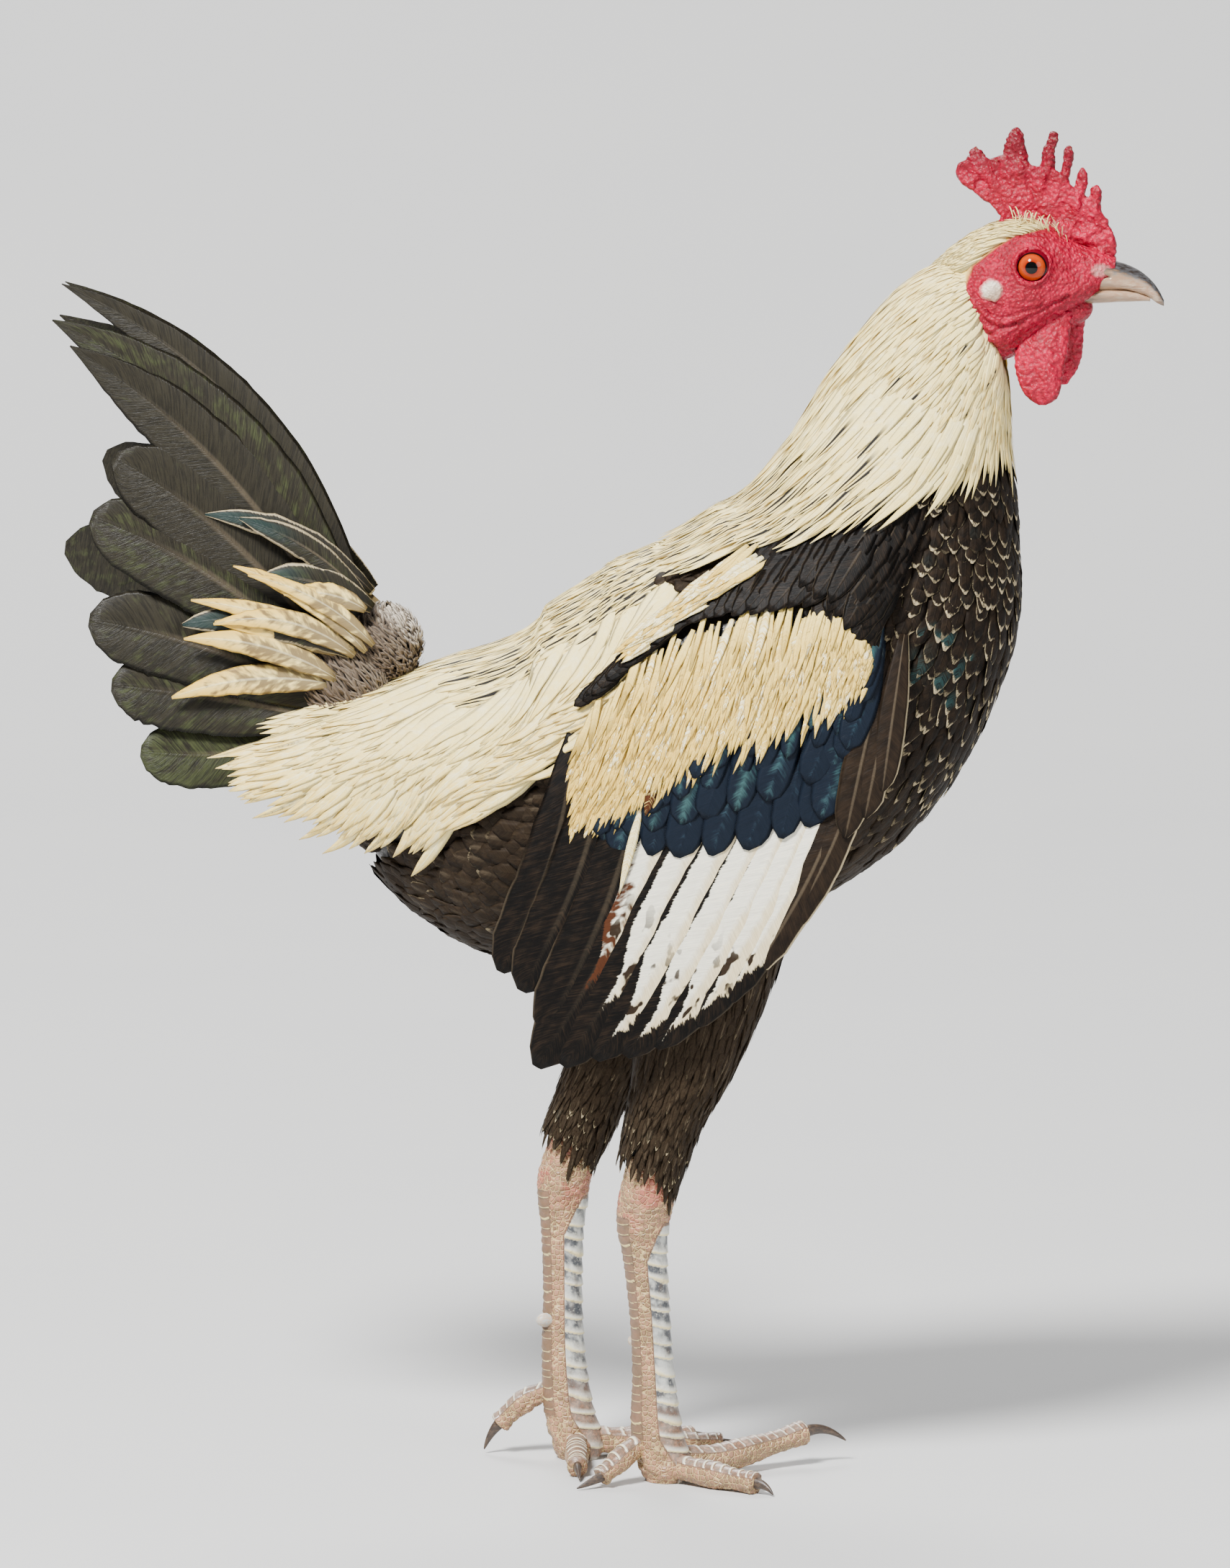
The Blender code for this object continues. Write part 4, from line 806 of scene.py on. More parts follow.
def eye_finish(look):
    """The eye: black pupil, orange-red iris with a dark rim, wet surface."""
    s = Shader("eye", coat_weight=0.6, coat_roughness=0.02, roughness=0.5, specular_ior_level=0.0)
    across, up = s.x - EYE_AT[0], s.z - EYE_AT[2]
    reach = (across * across + up * up) ** 0.5
    fibre = s.noise(s.vector(up.math("ARCTAN2", across) * 4.0, reach * 0.6), 2.0, 3.0, 0.7)
    iris = s.mix((reach + fibre * 0.8).rise(1.9, 3.4), look.ember, look.amber)
    iris = s.mix(reach.rise(2.9, 3.5) * 0.7, iris, look.ember)
    colour = s.mix(reach.rise(1.5, 1.8), look.pupil, iris)
    colour = s.mix(reach.rise(3.35, 3.6), colour, look.pupil)
    colour = s.mix(reach.rise(3.75, 4.0), colour, look.wine)
    s.finish(Base_Color=colour, Normal=s.bump(fibre, 0.04))


def beak_finish(look):
    """Horn: slate over the culmen, pale along the sides, brown streaks towards the mouth."""
    s = Shader("beak_keratin", coat_weight=0.4, coat_roughness=0.15)
    ridge = s.attribute("ridge")
    streak = s.noise(s.vector(s.x * 0.35, s.y * 1.5, s.z * 1.8), 1.0, 3.0, 0.6)
    colour = s.mix(streak.rise(0.4, 0.7), look.horn, look.horn_pale)
    colour = s.mix((1.0 - s.x.rise(128.0, 141.0)) * streak.rise(0.3, 0.6) * 0.5, colour, look.horn)
    colour = s.mix((streak * 0.6 + ridge * 0.5).rise(0.28, 0.5) * 0.4, colour, look.umber)
    top = (ridge + streak * 0.7 - 0.35).rise(0.3, 0.62)
    dark = s.mix(streak.rise(0.3, 0.7), look.night, look.slate)
    colour = s.mix(top * 0.94, colour, dark)
    colour = s.mix(s.x.rise(143.5, 146.5) * 0.8, colour, dark)
    colour = s.mix((1.0 - s.x.rise(127.0, 134.0)) * streak.rise(0.4, 0.6) * 0.8, colour, look.umber)
    s.finish(Base_Color=colour, Roughness=streak * 0.25 + 0.2, Normal=s.bump(streak, 0.1))


def leg_finish(look):
    """Shanks and toes: slate scutes with painted shine and cream edges on their lower parts, brownish skin of
    small scales between them.
    """
    s = Shader("leg_skin", specular_ior_level=0.6)
    plate, rim = s.attribute("plate"), s.attribute("rim")
    pebble = s.cells(s.whole, 0.75, "DISTANCE_TO_EDGE", randomness=0.7)
    each = s.cells(s.whole, 0.75, "F1", "Color", randomness=0.7)
    dirt = s.noise(s.whole, 0.35, 4.0, 0.65)
    fine = s.noise(s.whole, 1.6, 3.0, 0.6)
    scute = s.mix(s.noise(s.vector(s.x * 0.3, s.y * 0.3, s.z * 0.24)).rise(0.35, 0.6), look.scute, look.slate)
    scute = s.mix(fine.rise(0.5, 0.75) * 0.5, scute, look.scute_wear_and_shine)
    skin = s.mix(s.noise(s.whole, 0.25, 2.0).rise(0.35, 0.65), look.shank_pink, look.shank_brown)
    skin = s.mix(each.rise(0.2, 0.8) * 0.28, skin, look.umber)
    tan = s.mix(fine.rise(0.3, 0.6) * 0.7 + 0.15, look.shank_pink, look.umber)
    scute = s.mix(s.z.rise(26.0, 14.0) * 0.8, scute, tan)
    grey = s.mix(plate.rise(0.75, 0.95), s.mix(0.65, skin, look.umber), scute)
    skin = s.mix(pebble.rise(0.1, 0.02) * 0.35, skin, look.cream)
    skin = s.mix(s.z.rise(60.0, 78.0) * s.noise(s.whole, 0.12).rise(0.5, 0.6) * 0.35, skin, look.rose)
    colour = s.mix(plate.rise(0.3, 0.5), skin, grey)
    # Painted shine over the lower part of each scute and cream at its lip, partly its pale edge and partly
    # painted shine.
    colour = s.mix(rim.rise(0.2, 0.8) * plate.rise(0.75, 0.95) * 0.8, colour, look.scute_wear_and_shine)
    colour = s.mix(rim.rise(0.7, 0.95) * (0.3 + fine * 0.8), colour, look.cream)
    colour = s.mix(dirt.rise(0.5, 0.75) * 0.45, colour, look.umber)
    height = pebble.rise(0.0, 0.2) * (1.0 - plate.rise(0.3, 0.6)) + fine * 0.3
    gloss = plate.rise(0.8, 0.95) * 0.12
    s.finish(Base_Color=colour, Roughness=dirt * 0.3 + 0.28 - gloss, Normal=s.bump(height, 0.25))


def claw_finish(look):
    """Claws: dark horn with brown streaks."""
    s = Shader("claw_keratin", coat_weight=0.2, coat_roughness=0.3)
    streak = s.noise(s.vector(s.x * 0.9, s.y * 0.9, s.z * 2.0), 1.0, 3.0, 0.6)
    colour = s.mix(streak.rise(0.35, 0.75), look.claw, look.umber)
    s.finish(Base_Color=colour, Roughness=streak * 0.3 + 0.3, Normal=s.bump(streak, 0.12))


def floor_finish(look):
    """Pale grey floor with a soft warmer cloud."""
    s = Shader("studio_floor", roughness=0.9)
    colour = s.mix(s.noise(s.whole, 0.01, 2.0), look.floor, look.floor_warm)
    s.finish(Base_Color=colour)


def spur_finish(look):
    """Spur: pale clouded horn."""
    s = Shader("spur_horn", coat_weight=0.15)
    cloud = s.noise(s.whole, 1.2, 3.0)
    colour = s.mix(cloud.rise(0.35, 0.65), look.scute, look.horn_pale)
    s.finish(Base_Color=colour, Roughness=cloud * 0.3 + 0.3, Normal=s.bump(cloud, 0.1))


FINISHES = (
    straw_finish, body_finish, wing_finish, tail_finish, fluff_finish, skin_finish, comb_finish,
    lobe_finish, eye_finish, beak_finish, leg_finish, claw_finish, spur_finish, floor_finish,
)


def make_finishes(look, sizes):
    """Every material, by its own function."""
    for finish in FINISHES:
        finish(look)


FACE_FOLDS = (  # creases of the face in the side view, each through its points, and its depth
    ((98.1, 310.5), (102.8, 306.1), (110.7, 306.9), 0.5),
    ((121.7, 313.6), (110.7, 307.9), (101.2, 304.1), 0.5),
    ((118.6, 308.9), (112.3, 305.0), (107.5, 301.8), 0.35),
    ((127.2, 312.1), (123.3, 310.5), (118.6, 307.4), 0.6),
    ((126.4, 323.3), (120.9, 320.1), (117.8, 315.8), 0.15),
    ((102.8, 327.2), (108.3, 329.4), (114.6, 329.0), 0.3),
    ((96.5, 320.0), (98.1, 313.7), (101.8, 308.9), 0.4),
    ((99.5, 321.0), (101.1, 314.7), (105.8, 310.2), 0.3),
    ((119.0, 312.5), (112.5, 310.6), (105.0, 308.4), 0.3),
    ((102.0, 302.0), (105.5, 299.2), (110.5, 300.8), 0.6),
)
EYE_RINGS = (5.7, 7.0, 8.5)
FACE_BULGES = (  # x, z, reach along, reach up, height
    (104.0, 302.6, 4.0, 2.6, 1.5),
    (112.0, 314.4, 6.0, 3.0, 0.8),
    (113.0, 328.4, 6.0, 1.8, 0.7),
    (122.5, 320.6, 3.0, 2.2, -0.6),
    (126.0, 315.2, 3.0, 2.0, 0.7),
    (108.0, 297.5, 4.0, 3.0, 0.8),
)


def gap_to(points, count, x, z):
    """How far each place of the side view lies from a curve through a few points."""
    line = along(points, np.linspace(0, 1, count))
    return np.sqrt(((x[..., None] - line[:, 0]) ** 2 + (z[..., None] - line[:, 1]) ** 2).min(-1))


def face_relief(x, z):
    """Height of the face's skin over the skull and how deep in a fold it lies, by place in the side view."""
    dx, dz = x - EYE_AT[0], z - EYE_AT[2]
    reach = np.hypot(dx, dz * 1.06)
    turn = np.arctan2(dz, dx)
    height = 1.25 * np.exp(-(((reach - 4.6) / 0.8) ** 2)) - 2.4 * np.clip((4.1 - reach) / 0.7, 0, 1)
    fold = 0.9 * np.clip((4.2 - reach) / 0.5, 0, 1)
    for number, radius in enumerate(EYE_RINGS):
        wave = radius + 0.3 * np.sin(3 * turn + number)
        groove = np.exp(-(((reach - wave) / 0.34) ** 2)) * (0.45 + 0.45 * np.sin(turn + 4.4 + number * 0.4))
        height, fold = height - 0.35 * groove, fold + 0.5 * groove
    for *points, depth in FACE_FOLDS:
        gap = gap_to(points, 24, x, z)
        groove = depth * np.exp(-((gap / 0.45) ** 2))
        height = height - 1.1 * groove + 0.4 * depth * np.exp(-(((gap - 1.1) / 0.6) ** 2))
        fold = fold + groove
    for at_x, at_z, long, high, rise in FACE_BULGES:
        height = height + rise * np.exp(-(((x - at_x) / long) ** 2) - ((z - at_z) / high) ** 2)
    return height, np.clip(fold, 0, 1)


def face_bare(x, z):
    """1 on the bare face and 0 under the feathers of the head."""
    edge_z, edge_x = np.array(FACE_EDGE).T
    return np.clip((x - np.interp(z, edge_z, edge_x)) / 1.6 + 0.5, 0, 1) * (z < 334)


def pebbles(points, size, seed):
    """Soft bumps of random cells, between 0 and 1, made by a sum of waves in random directions."""
    draw = np.random.default_rng(seed)
    total = np.zeros(points.shape[:-1])
    for _ in range(9):
        way = unit(draw.normal(size=3)) * 2 * math.pi / size * draw.uniform(0.75, 1.3)
        total = total + np.sin(points @ way + draw.uniform(0, 6.3))
    return np.clip(total / 6 + 0.5, 0, 1)


def round_angles(sides):
    """Evenly placed angles all round."""
    return np.arange(sides) * 2 * math.pi / sides


def ring_grid(lie, places, sides, lift):
    """Rings of points on a surface, one at each place along it."""
    angles = round_angles(sides)
    return lie(np.repeat(places[:, None], sides, 1), np.repeat(angles[None], len(places), 0), lift)


def grid_and_way(lie, stations, sides):
    """A grid of points all over a surface, and the way outwards at each."""
    grid, above = (ring_grid(lie, np.linspace(0, 1, stations), sides, lift) for lift in (0.0, 1.0))
    return grid, unit(above - grid)


def square_ways(way):
    """The level way square to a line, and the way over both."""
    across = unit(np.cross([0, 0, 1], way))
    return across, np.cross(way, across)


def head_mesh(name):
    """The head's skin, with lids, folds and pebbles raised out of the skull's form."""
    grid, out = grid_and_way(upright_lie(SKULL), 130, 210)
    x, z = grid[..., 0], grid[..., 2]
    height = face_relief(x, z)[0] * np.clip(np.abs(out[..., 1]) * 1.6 - 0.25, 0, 1)
    bare = face_bare(x, z)
    height = height * bare + (pebbles(grid, 1.5, 3) - 0.5) * 0.22 * bare - (1 - bare)
    ends = np.clip(np.minimum(x - 90, 133.5 - x) / 2, 0, 1)
    return loft(name, grid + out * (height * ends)[..., None])


def wing_pad(name, side):
    """The flesh of a folded wing, under its feathers."""
    rings = []
    rise = np.linspace(1, 0, 14)
    edge = np.minimum(rise, 1 - rise) * 2
    for share in np.linspace(0.02, 0.97, 18):
        low_x, low_z = along(BAR_LOW, share)
        x, z = between(((low_x, low_z - 4),) * 2, (along(WING_TOP, share),) * 2, 0.0 * rise, rise)
        outer = wing_sheet(x, z) - 2.6 - 3.0 * (1 - np.clip(edge * 4, 0, 1)) ** 2
        outer = outer - 2.0 * (share > 0.95 or share < 0.05)
        inner = np.minimum(outer - 6, 24)
        faces = [np.stack([x, side * depth, z], -1) for depth in (outer, inner)]
        rings.append(np.concatenate([faces[0], faces[1][::-1]]))
    return loft(name, rings)


def ellipsoid(name, at, sizes, rings=24, sides=32):
    """A closed ellipsoid with its poles at both ends along x."""
    down = np.linspace(0.03, math.pi - 0.03, rings)
    angles = round_angles(sides)
    along_x = np.repeat(np.cos(down)[:, None], sides, 1)
    around = [np.sin(down)[:, None] * wave for wave in (np.sin(angles), np.cos(angles))]
    return loft(name, np.array(at) + np.stack([along_x, *around], -1) * np.array(sizes))


def united(name, meshes):
    """One closed mesh from several that overlap."""
    group = bpy.data.collections.new(name)
    bpy.context.scene.collection.children.link(group)
    core = linked(name, meshes[0])
    others = [linked(mesh.name, mesh, group) for mesh in meshes[1:]]
    union = core.modifiers.new("unite", "BOOLEAN")
    union.operation = "UNION"
    union.operand_type = "COLLECTION"
    union.collection = group
    union.solver = "MANIFOLD"
    mesh = finished(core, name)
    for other in others:
        bpy.data.objects.remove(other)
    bpy.data.collections.remove(group)
    return mesh


def mesh_points(mesh):
    """The points of a mesh in millimetres."""
    points = np.zeros(len(mesh.vertices) * 3)
    mesh.vertices.foreach_get("co", points)
    return points.reshape(-1, 3) / MM


def set_value(mesh, name, value):
    """Keeps a number for each point, for the finish to read."""
    layer = mesh.attributes.new(name, "FLOAT", "POINT")
    layer.data.foreach_set("value", np.asarray(value, np.float32))


TAIL_DOMES = (((-69, 0, 207), (15, 11, 19)), ((-58, 0, 219), (10.5, 8.5, 11.5)))
VENT_DOME = ((-58, 0, 180), (11, 15, 16))


def make_skin(look, sizes):
    """One skin for trunk, neck, head, thighs and the flesh of the wings and the tail's root."""
    pieces = [
        loft("trunk_skin", ring_grid(tube_lie(TRUNK), np.linspace(0, 1, 80), 72, -SKIN_DEPTH)),
        loft("rump_skin", ring_grid(tube_lie(SADDLE_LIE), np.linspace(0.3, 0.7, 24), 60, -SKIN_DEPTH - 1)),
        head_mesh("head_skin"),
        ellipsoid("chin", (121.5, 0, 310.0), (6.2, 5.0, 4.6), 40, 60),
    ]
    for name, side in SIDES:
        thigh = ring_grid(level_lie(THIGHS[name], side), np.linspace(0, 0.98, 40), 40, -THIGH_DEPTH)
        pieces += [loft(f"thigh_{name}", thigh), wing_pad(f"wing_{name}", side)]
    for number, (at, reach) in enumerate((*TAIL_DOMES, VENT_DOME)):
        pieces.append(ellipsoid(f"dome_{number}", at, np.array(reach) - DOME_DEPTH))
    mesh = united("skin", pieces)
    x, _, z = mesh_points(mesh).T
    bare = face_bare(x, z) * np.clip(side_of(THROAT_LINE, x, z) / 2, 0, 1)
    set_value(mesh, "bare", bare)
    # How deep each point lies in a fold, for the painted shade in the folds.
    set_value(mesh, "fold", face_relief(x, z)[1] * bare)
    flesh = ("torso", "neck", "saddle", "head", "thigh_right", "thigh_left")
    new_piece("skin", mesh, flesh, "bird_skin")


def tube_spots(draw, rows, low, high, step, spacing):
    """Staggered places on a tube: place along it and angle."""
    spots = []
    for number, place in enumerate(np.arange(low, high, step)):
        _, _, wide, rise, drop = along(rows, place)
        count = max(6, round(math.pi * (wide + (rise + drop) / 2) / spacing))
        angle = staggered(draw, count, number, 0.14) * 2 * math.pi - math.pi
        spots.append(np.stack([place + draw.normal(0, step * 0.15, count), angle], -1))
    return np.concatenate(spots)


def tube_bake(spots):
    """Each feather's own place in the map that the finish is kept in."""
    return np.stack([spots[:, 1] / (2 * math.pi) + 0.5, spots[:, 0]], -1) * 0.98 + 0.01


def under_wing(x, z):
    """Whether the wing's pad covers this place in the side view."""
    return ((x - 32) / 34) ** 2 + ((z - 202) / 36) ** 2 < 1


def make_body_coat(look, sizes):
    """Breast, flanks and belly, and the dark feathers under the tail."""
    coat = Feathers(11)
    lie = tube_lie(TRUNK)
    spots = tube_spots(coat.draw, TRUNK, 0.02, 0.88, sizes.body_step / TRUNK_LENGTH, sizes.body_spacing)
    length = sizes.body_length * coat.draw.uniform(0.9, 1.15, len(spots)) / TRUNK_LENGTH
    tips = np.stack([spots[:, 0] - length, spots[:, 1] + coat.draw.normal(0, 0.02, len(spots))], -1)
    x, _, z = lie(tips[:, 0].clip(0, 1), tips[:, 1], 0 * tips[:, 0]).T
    seen = (side_of(NECK_LINE, x, z) < 8) & (side_of(SADDLE_LINE, x, z) < 4) & ~under_wing(x, z)
    keep = seen & (tips[:, 0] > 0)
    spots, tips, x, z = spots[keep], tips[keep], x[keep], z[keep]
    front = np.clip((x - 64) / 18, 0, 1) * np.clip((z - 152) / 24, 0.1, 1)
    mark = front * coat.draw.uniform(0.4, 1.0, len(x)) + 0.15 * (1 - front) * (z < 176)
    half = sizes.body_spacing * 0.72 * (1 + 0.35 * (1 - front))
    coat.bed(lie, spots, tips, half, "round", (-3.4, 0.0), tube_bake(spots), mark, 0.45 * (1 - front),
             rows=7, roll=5, fray=0.1, camber=0.12)
    count = 700
    down, turn = coat.draw.uniform(0.9, 2.9, count), coat.draw.uniform(0.25, 1.75, count) * math.pi
    spots = np.stack([down, turn], -1)
    tips = np.stack([down + 0.25 * (1.75 - down), turn + (math.pi - turn) * 0.55], -1)
    lift = (-2.6, coat.draw.uniform(-0.6, 1.0, count))
    coat.bed(dome_lie(*VENT_DOME), spots, tips, 2.6, "narrow", lift, spots / 7 + 0.2, 0.0, 0.6,
             rows=7, roll=6, fray=0.12, camber=0.12)
    coat.piece("body_feathers", "breast_feathers", "body_plume")


def on_face(lie, place, angle):
    """Whether a place of the neck lies on the bare face."""
    at = lie(place, angle, 0 * angle)
    return face_bare(at[:, 0] - 1.5, at[:, 2]) >= 0.6


def make_hackle(look, sizes):
    """The long pointed feathers of the neck, in rows from the lowest up to the head."""
    coat = Feathers(21)
    lie = tube_lie(TRUNK)
    for number, up in enumerate(np.arange(0, 0.56, sizes.hackle_step / TRUNK_LENGTH)):
        wide = along(TRUNK, min(HACKLE_END + 0.1 + up, 1))[2]
        thin = np.interp(up, [0, 0.2, 0.4], [1, 0.7, 0.45])
        count = round(2 * math.pi * wide * 1.12 / sizes.hackle_spacing / thin)
        angle = staggered(coat.draw, count, number, 0.2) * 2 * math.pi - math.pi
        lowest = np.interp(np.degrees(np.abs(angle)), *zip(*HACKLE_EDGE))
        tip = lowest + up + coat.draw.normal(0, 0.009, count)
        long = np.interp(tip, [0.4, 0.7, 0.95], [46, 36, 16])
        long = long * coat.draw.uniform(0.85, 1.15, count) / TRUNK_LENGTH
        root = np.minimum(tip + long, 1.01)
        for share in (1.0, 0.75, 0.5):
            root = np.where(on_face(lie, root, angle), tip + long * share, root)
        keep = (tip < 0.985) & (root < 1.03) & ~on_face(lie, root, angle)
        angle, tip, root = angle[keep], tip[keep], root[keep]
        sweep = np.radians(np.interp(tip, [0.5, 0.62, 0.75, 0.9], [14, 28, 24, 10])) * np.sin(angle)
        roots = np.stack([root, angle + sweep], -1)
        tips = np.stack([tip, angle + coat.draw.normal(0, 0.025, len(tip))], -1)
        back = np.clip(np.cos(angle) * 1.6 - 0.3, 0, 1)
        chance = np.clip(1.15 - up / 0.22, 0, 1) * (0.03 + 0.75 * back)
        dark = 0.95 * (coat.draw.random(len(tip)) < chance)
        mark = 0.2 * back * coat.draw.random(len(tip))
        half = np.interp(tip, [0.4, 0.75, 0.95], [2.3, 1.6, 0.9])
        beside = np.clip(np.abs(np.sin(angle)) * 2.0 - 0.7, 0, 1) * (np.cos(angle) > -0.4)
        proud = 0.5 + 3.4 * beside * np.interp(tip, [0.55, 0.66, 0.72], [1, 0.8, 0])
        deep = np.interp(tip, [0.6, 0.9], [-2.4, -1.2])
        coat.bed(lie, roots, tips, half, "pointed", (deep, proud), tube_bake(roots), mark, dark,
                 rows=7, roll=2, fray=0.05, camber=0.05)
    coat.piece("hackle_feathers", "hackle_feathers", "straw_plume")


def make_saddle_coat(look, sizes):
    """The saddle's hanging feathers, and the shorter ones that cover the back as far as the hackle."""
    coat = Feathers(31)
    lie = tube_lie(SADDLE_LIE)
    for place in np.arange(0.14, 0.86, 0.021):
        reach = np.interp(place, [0.0, 0.3, 0.86], [40, 60, 62])
        count = round(np.radians(reach) * 2 * along(SADDLE_LIE, place)[3] / 2.9)
        angle = np.radians(reach) * (np.linspace(-1, 1, count) + coat.draw.normal(0, 0.02, count))
        long = coat.draw.uniform(0.12, 0.16, count)
        roots = np.stack([np.full(count, place + 0.07), angle * 0.9], -1)
        tips = np.stack([np.full(count, place) - long + 0.07, angle * 1.05], -1)
        speck = np.interp(place, [0.42, 0.52, 0.86], [0.15, 0.7, 0.7])
        dark = 0.8 * (coat.draw.random(count) < speck)
        coat.bed(lie, roots, tips, 2.2, "pointed", (-2.6, -0.5), tube_bake(roots), 0.1, dark,
                 roll=5, fray=0.1, camber=0.08)
    for _, side in SIDES:
        for number, up in enumerate(np.arange(0, 2.0, sizes.saddle_step)):
            count = round(sizes.saddle_count * np.interp(up, [0, 2.3], [1, 0.6]))
            share = staggered(coat.draw, count, number, 0.2)
            place, angle, ahead, back = along(SADDLE_EDGE, share).T
            lowest = number < 3
            loose = 1 + 1.2 * lowest
            place = place + 0.55 * up * ahead + coat.draw.normal(0, 0.009 * loose, count)
            angle = angle - 0.55 * up * back + coat.draw.normal(0, 2 * loose, count)
            keep = (angle > -3) & (place + ahead < 0.9)
            place, angle, ahead, back = place[keep], angle[keep], ahead[keep], back[keep]
            roots = np.stack([place + ahead, np.radians(angle - back) * side], -1)
            tips = np.stack([place, np.radians(angle) * side], -1)
            dark = 0.1 + 0.4 * (coat.draw.random(len(place)) < 0.12)
            mark = np.interp(up, [0, 0.3, 0.8, 2], [0.6, 0.5, 0.2, 0.05])
            half = np.interp(up, [0, 0.5, 2], [2.2, 2.2, 2.4])
            coat.bed(lie, roots, tips, half, "pointed", (-2.6, 1.0 + 0.6 * lowest), tube_bake(roots),
                     mark, dark, rows=9, roll=5, fray=0.06, camber=0.1, bend=np.radians(4) * side)
    coat.piece("saddle_feathers", "saddle_feathers", "straw_plume")


# The line over the wing that the scapulars reach up to, from front to back: x, z.
SCAPULAR_TOP = ((67, 252), (50, 257), (32, 250), (15, 238), (0, 224), (-14, 210))
RUSTY_WEB = 3  # the flight feather whose white web is rusty
# How far down each flight feather its white web reaches, or 0 where it has none.
WHITE_ENDS = (0, 0, 0, 0.69, 0.74, 0.85, 0.88, 0.89, 0.875, 0.86, 0, 0)
# Long feathers at the front edge of the folded wing: root, tip, half width.
FRONT_PANEL = (
    ((77, 224), (67, 176), 4.8),
    ((80, 222), (72, 181), 4.6),
    ((81.5, 228), (76.5, 188), 4.0),
)
# Two loose pale plumes under the bow: root, tip, half width.
LOOSE_PLUMES = (((14.5, 184), (8.5, 160.5), 1.3), ((18, 190.5), (15.5, 181.5), 1.5))


def wing_bed(coat, side, share, low, high, rise, length, lean, half, shape, lift, **options):
    """Feathers whose tips lie at a share and a rise between two curves of the wing."""
    tip_x, tip_z = between(low, high, share, rise)
    way = np.stack([np.cos(lean), np.sin(lean)], -1)
    tips = np.stack([tip_x, tip_z], -1)
    roots = tips - way * np.broadcast_to(length, len(share))[:, None]
    bake = np.stack([(roots[:, 0] + 40) / 130, (roots[:, 1] - 95) / 175], -1)
    coat.bed(wing_lie(side), roots, tips, half, shape, lift, bake.clip(0.01, 0.99), **options)


def grid_shares(draw, columns, rows, jitter=0.25):
    """Staggered shares from front to back and rises, one row after another from the lowest."""
    row = np.arange(rows)[:, None]
    share = (np.arange(columns)[None] + 0.5 * (row % 2) + draw.normal(0, jitter, (rows, columns))) / columns
    rise = (row + draw.normal(0, jitter * 0.6, (rows, columns))) / rows
    return share.ravel().clip(0, 1), rise.ravel()


def flight_feathers(coat, side):
    """The visible vanes of the folded wing, the innermost on top."""
    s = np.linspace(0, 1, 26)
    count = len(WING_FEATHERS)
    for number, (root_x, root_z, tip_x, tip_z, half) in enumerate(WING_FEATHERS):
        reach = 3.0 if side > 0 and 1 < number < 5 else 0.0
        x = root_x + (tip_x - reach - root_x) * s + 4.0 * np.sin(math.pi * s)
        z = root_z + (tip_z - reach - root_z) * s
        height = np.interp(s, [0, 0.3, 0.55, 1], [-4.0, -2.0, -1.0, -0.6]) + 1.3 * (1 - number / count)
        white = WHITE_ENDS[number]
        kind = WEB if white else BLACK if number < 3 else EDGED
        coat.vane(wing_lie(side)(x, z, height), side, outline("broad", s) * half * 1.12, s,
                  [number / count * 0.4 + 0.06, 0.3], kind + RUSTY * (number == RUSTY_WEB), white,
                  columns=15, camber=0.14, roll=np.array([side * -6.0]), fray=0.012, patch=(0.03, 0.5))


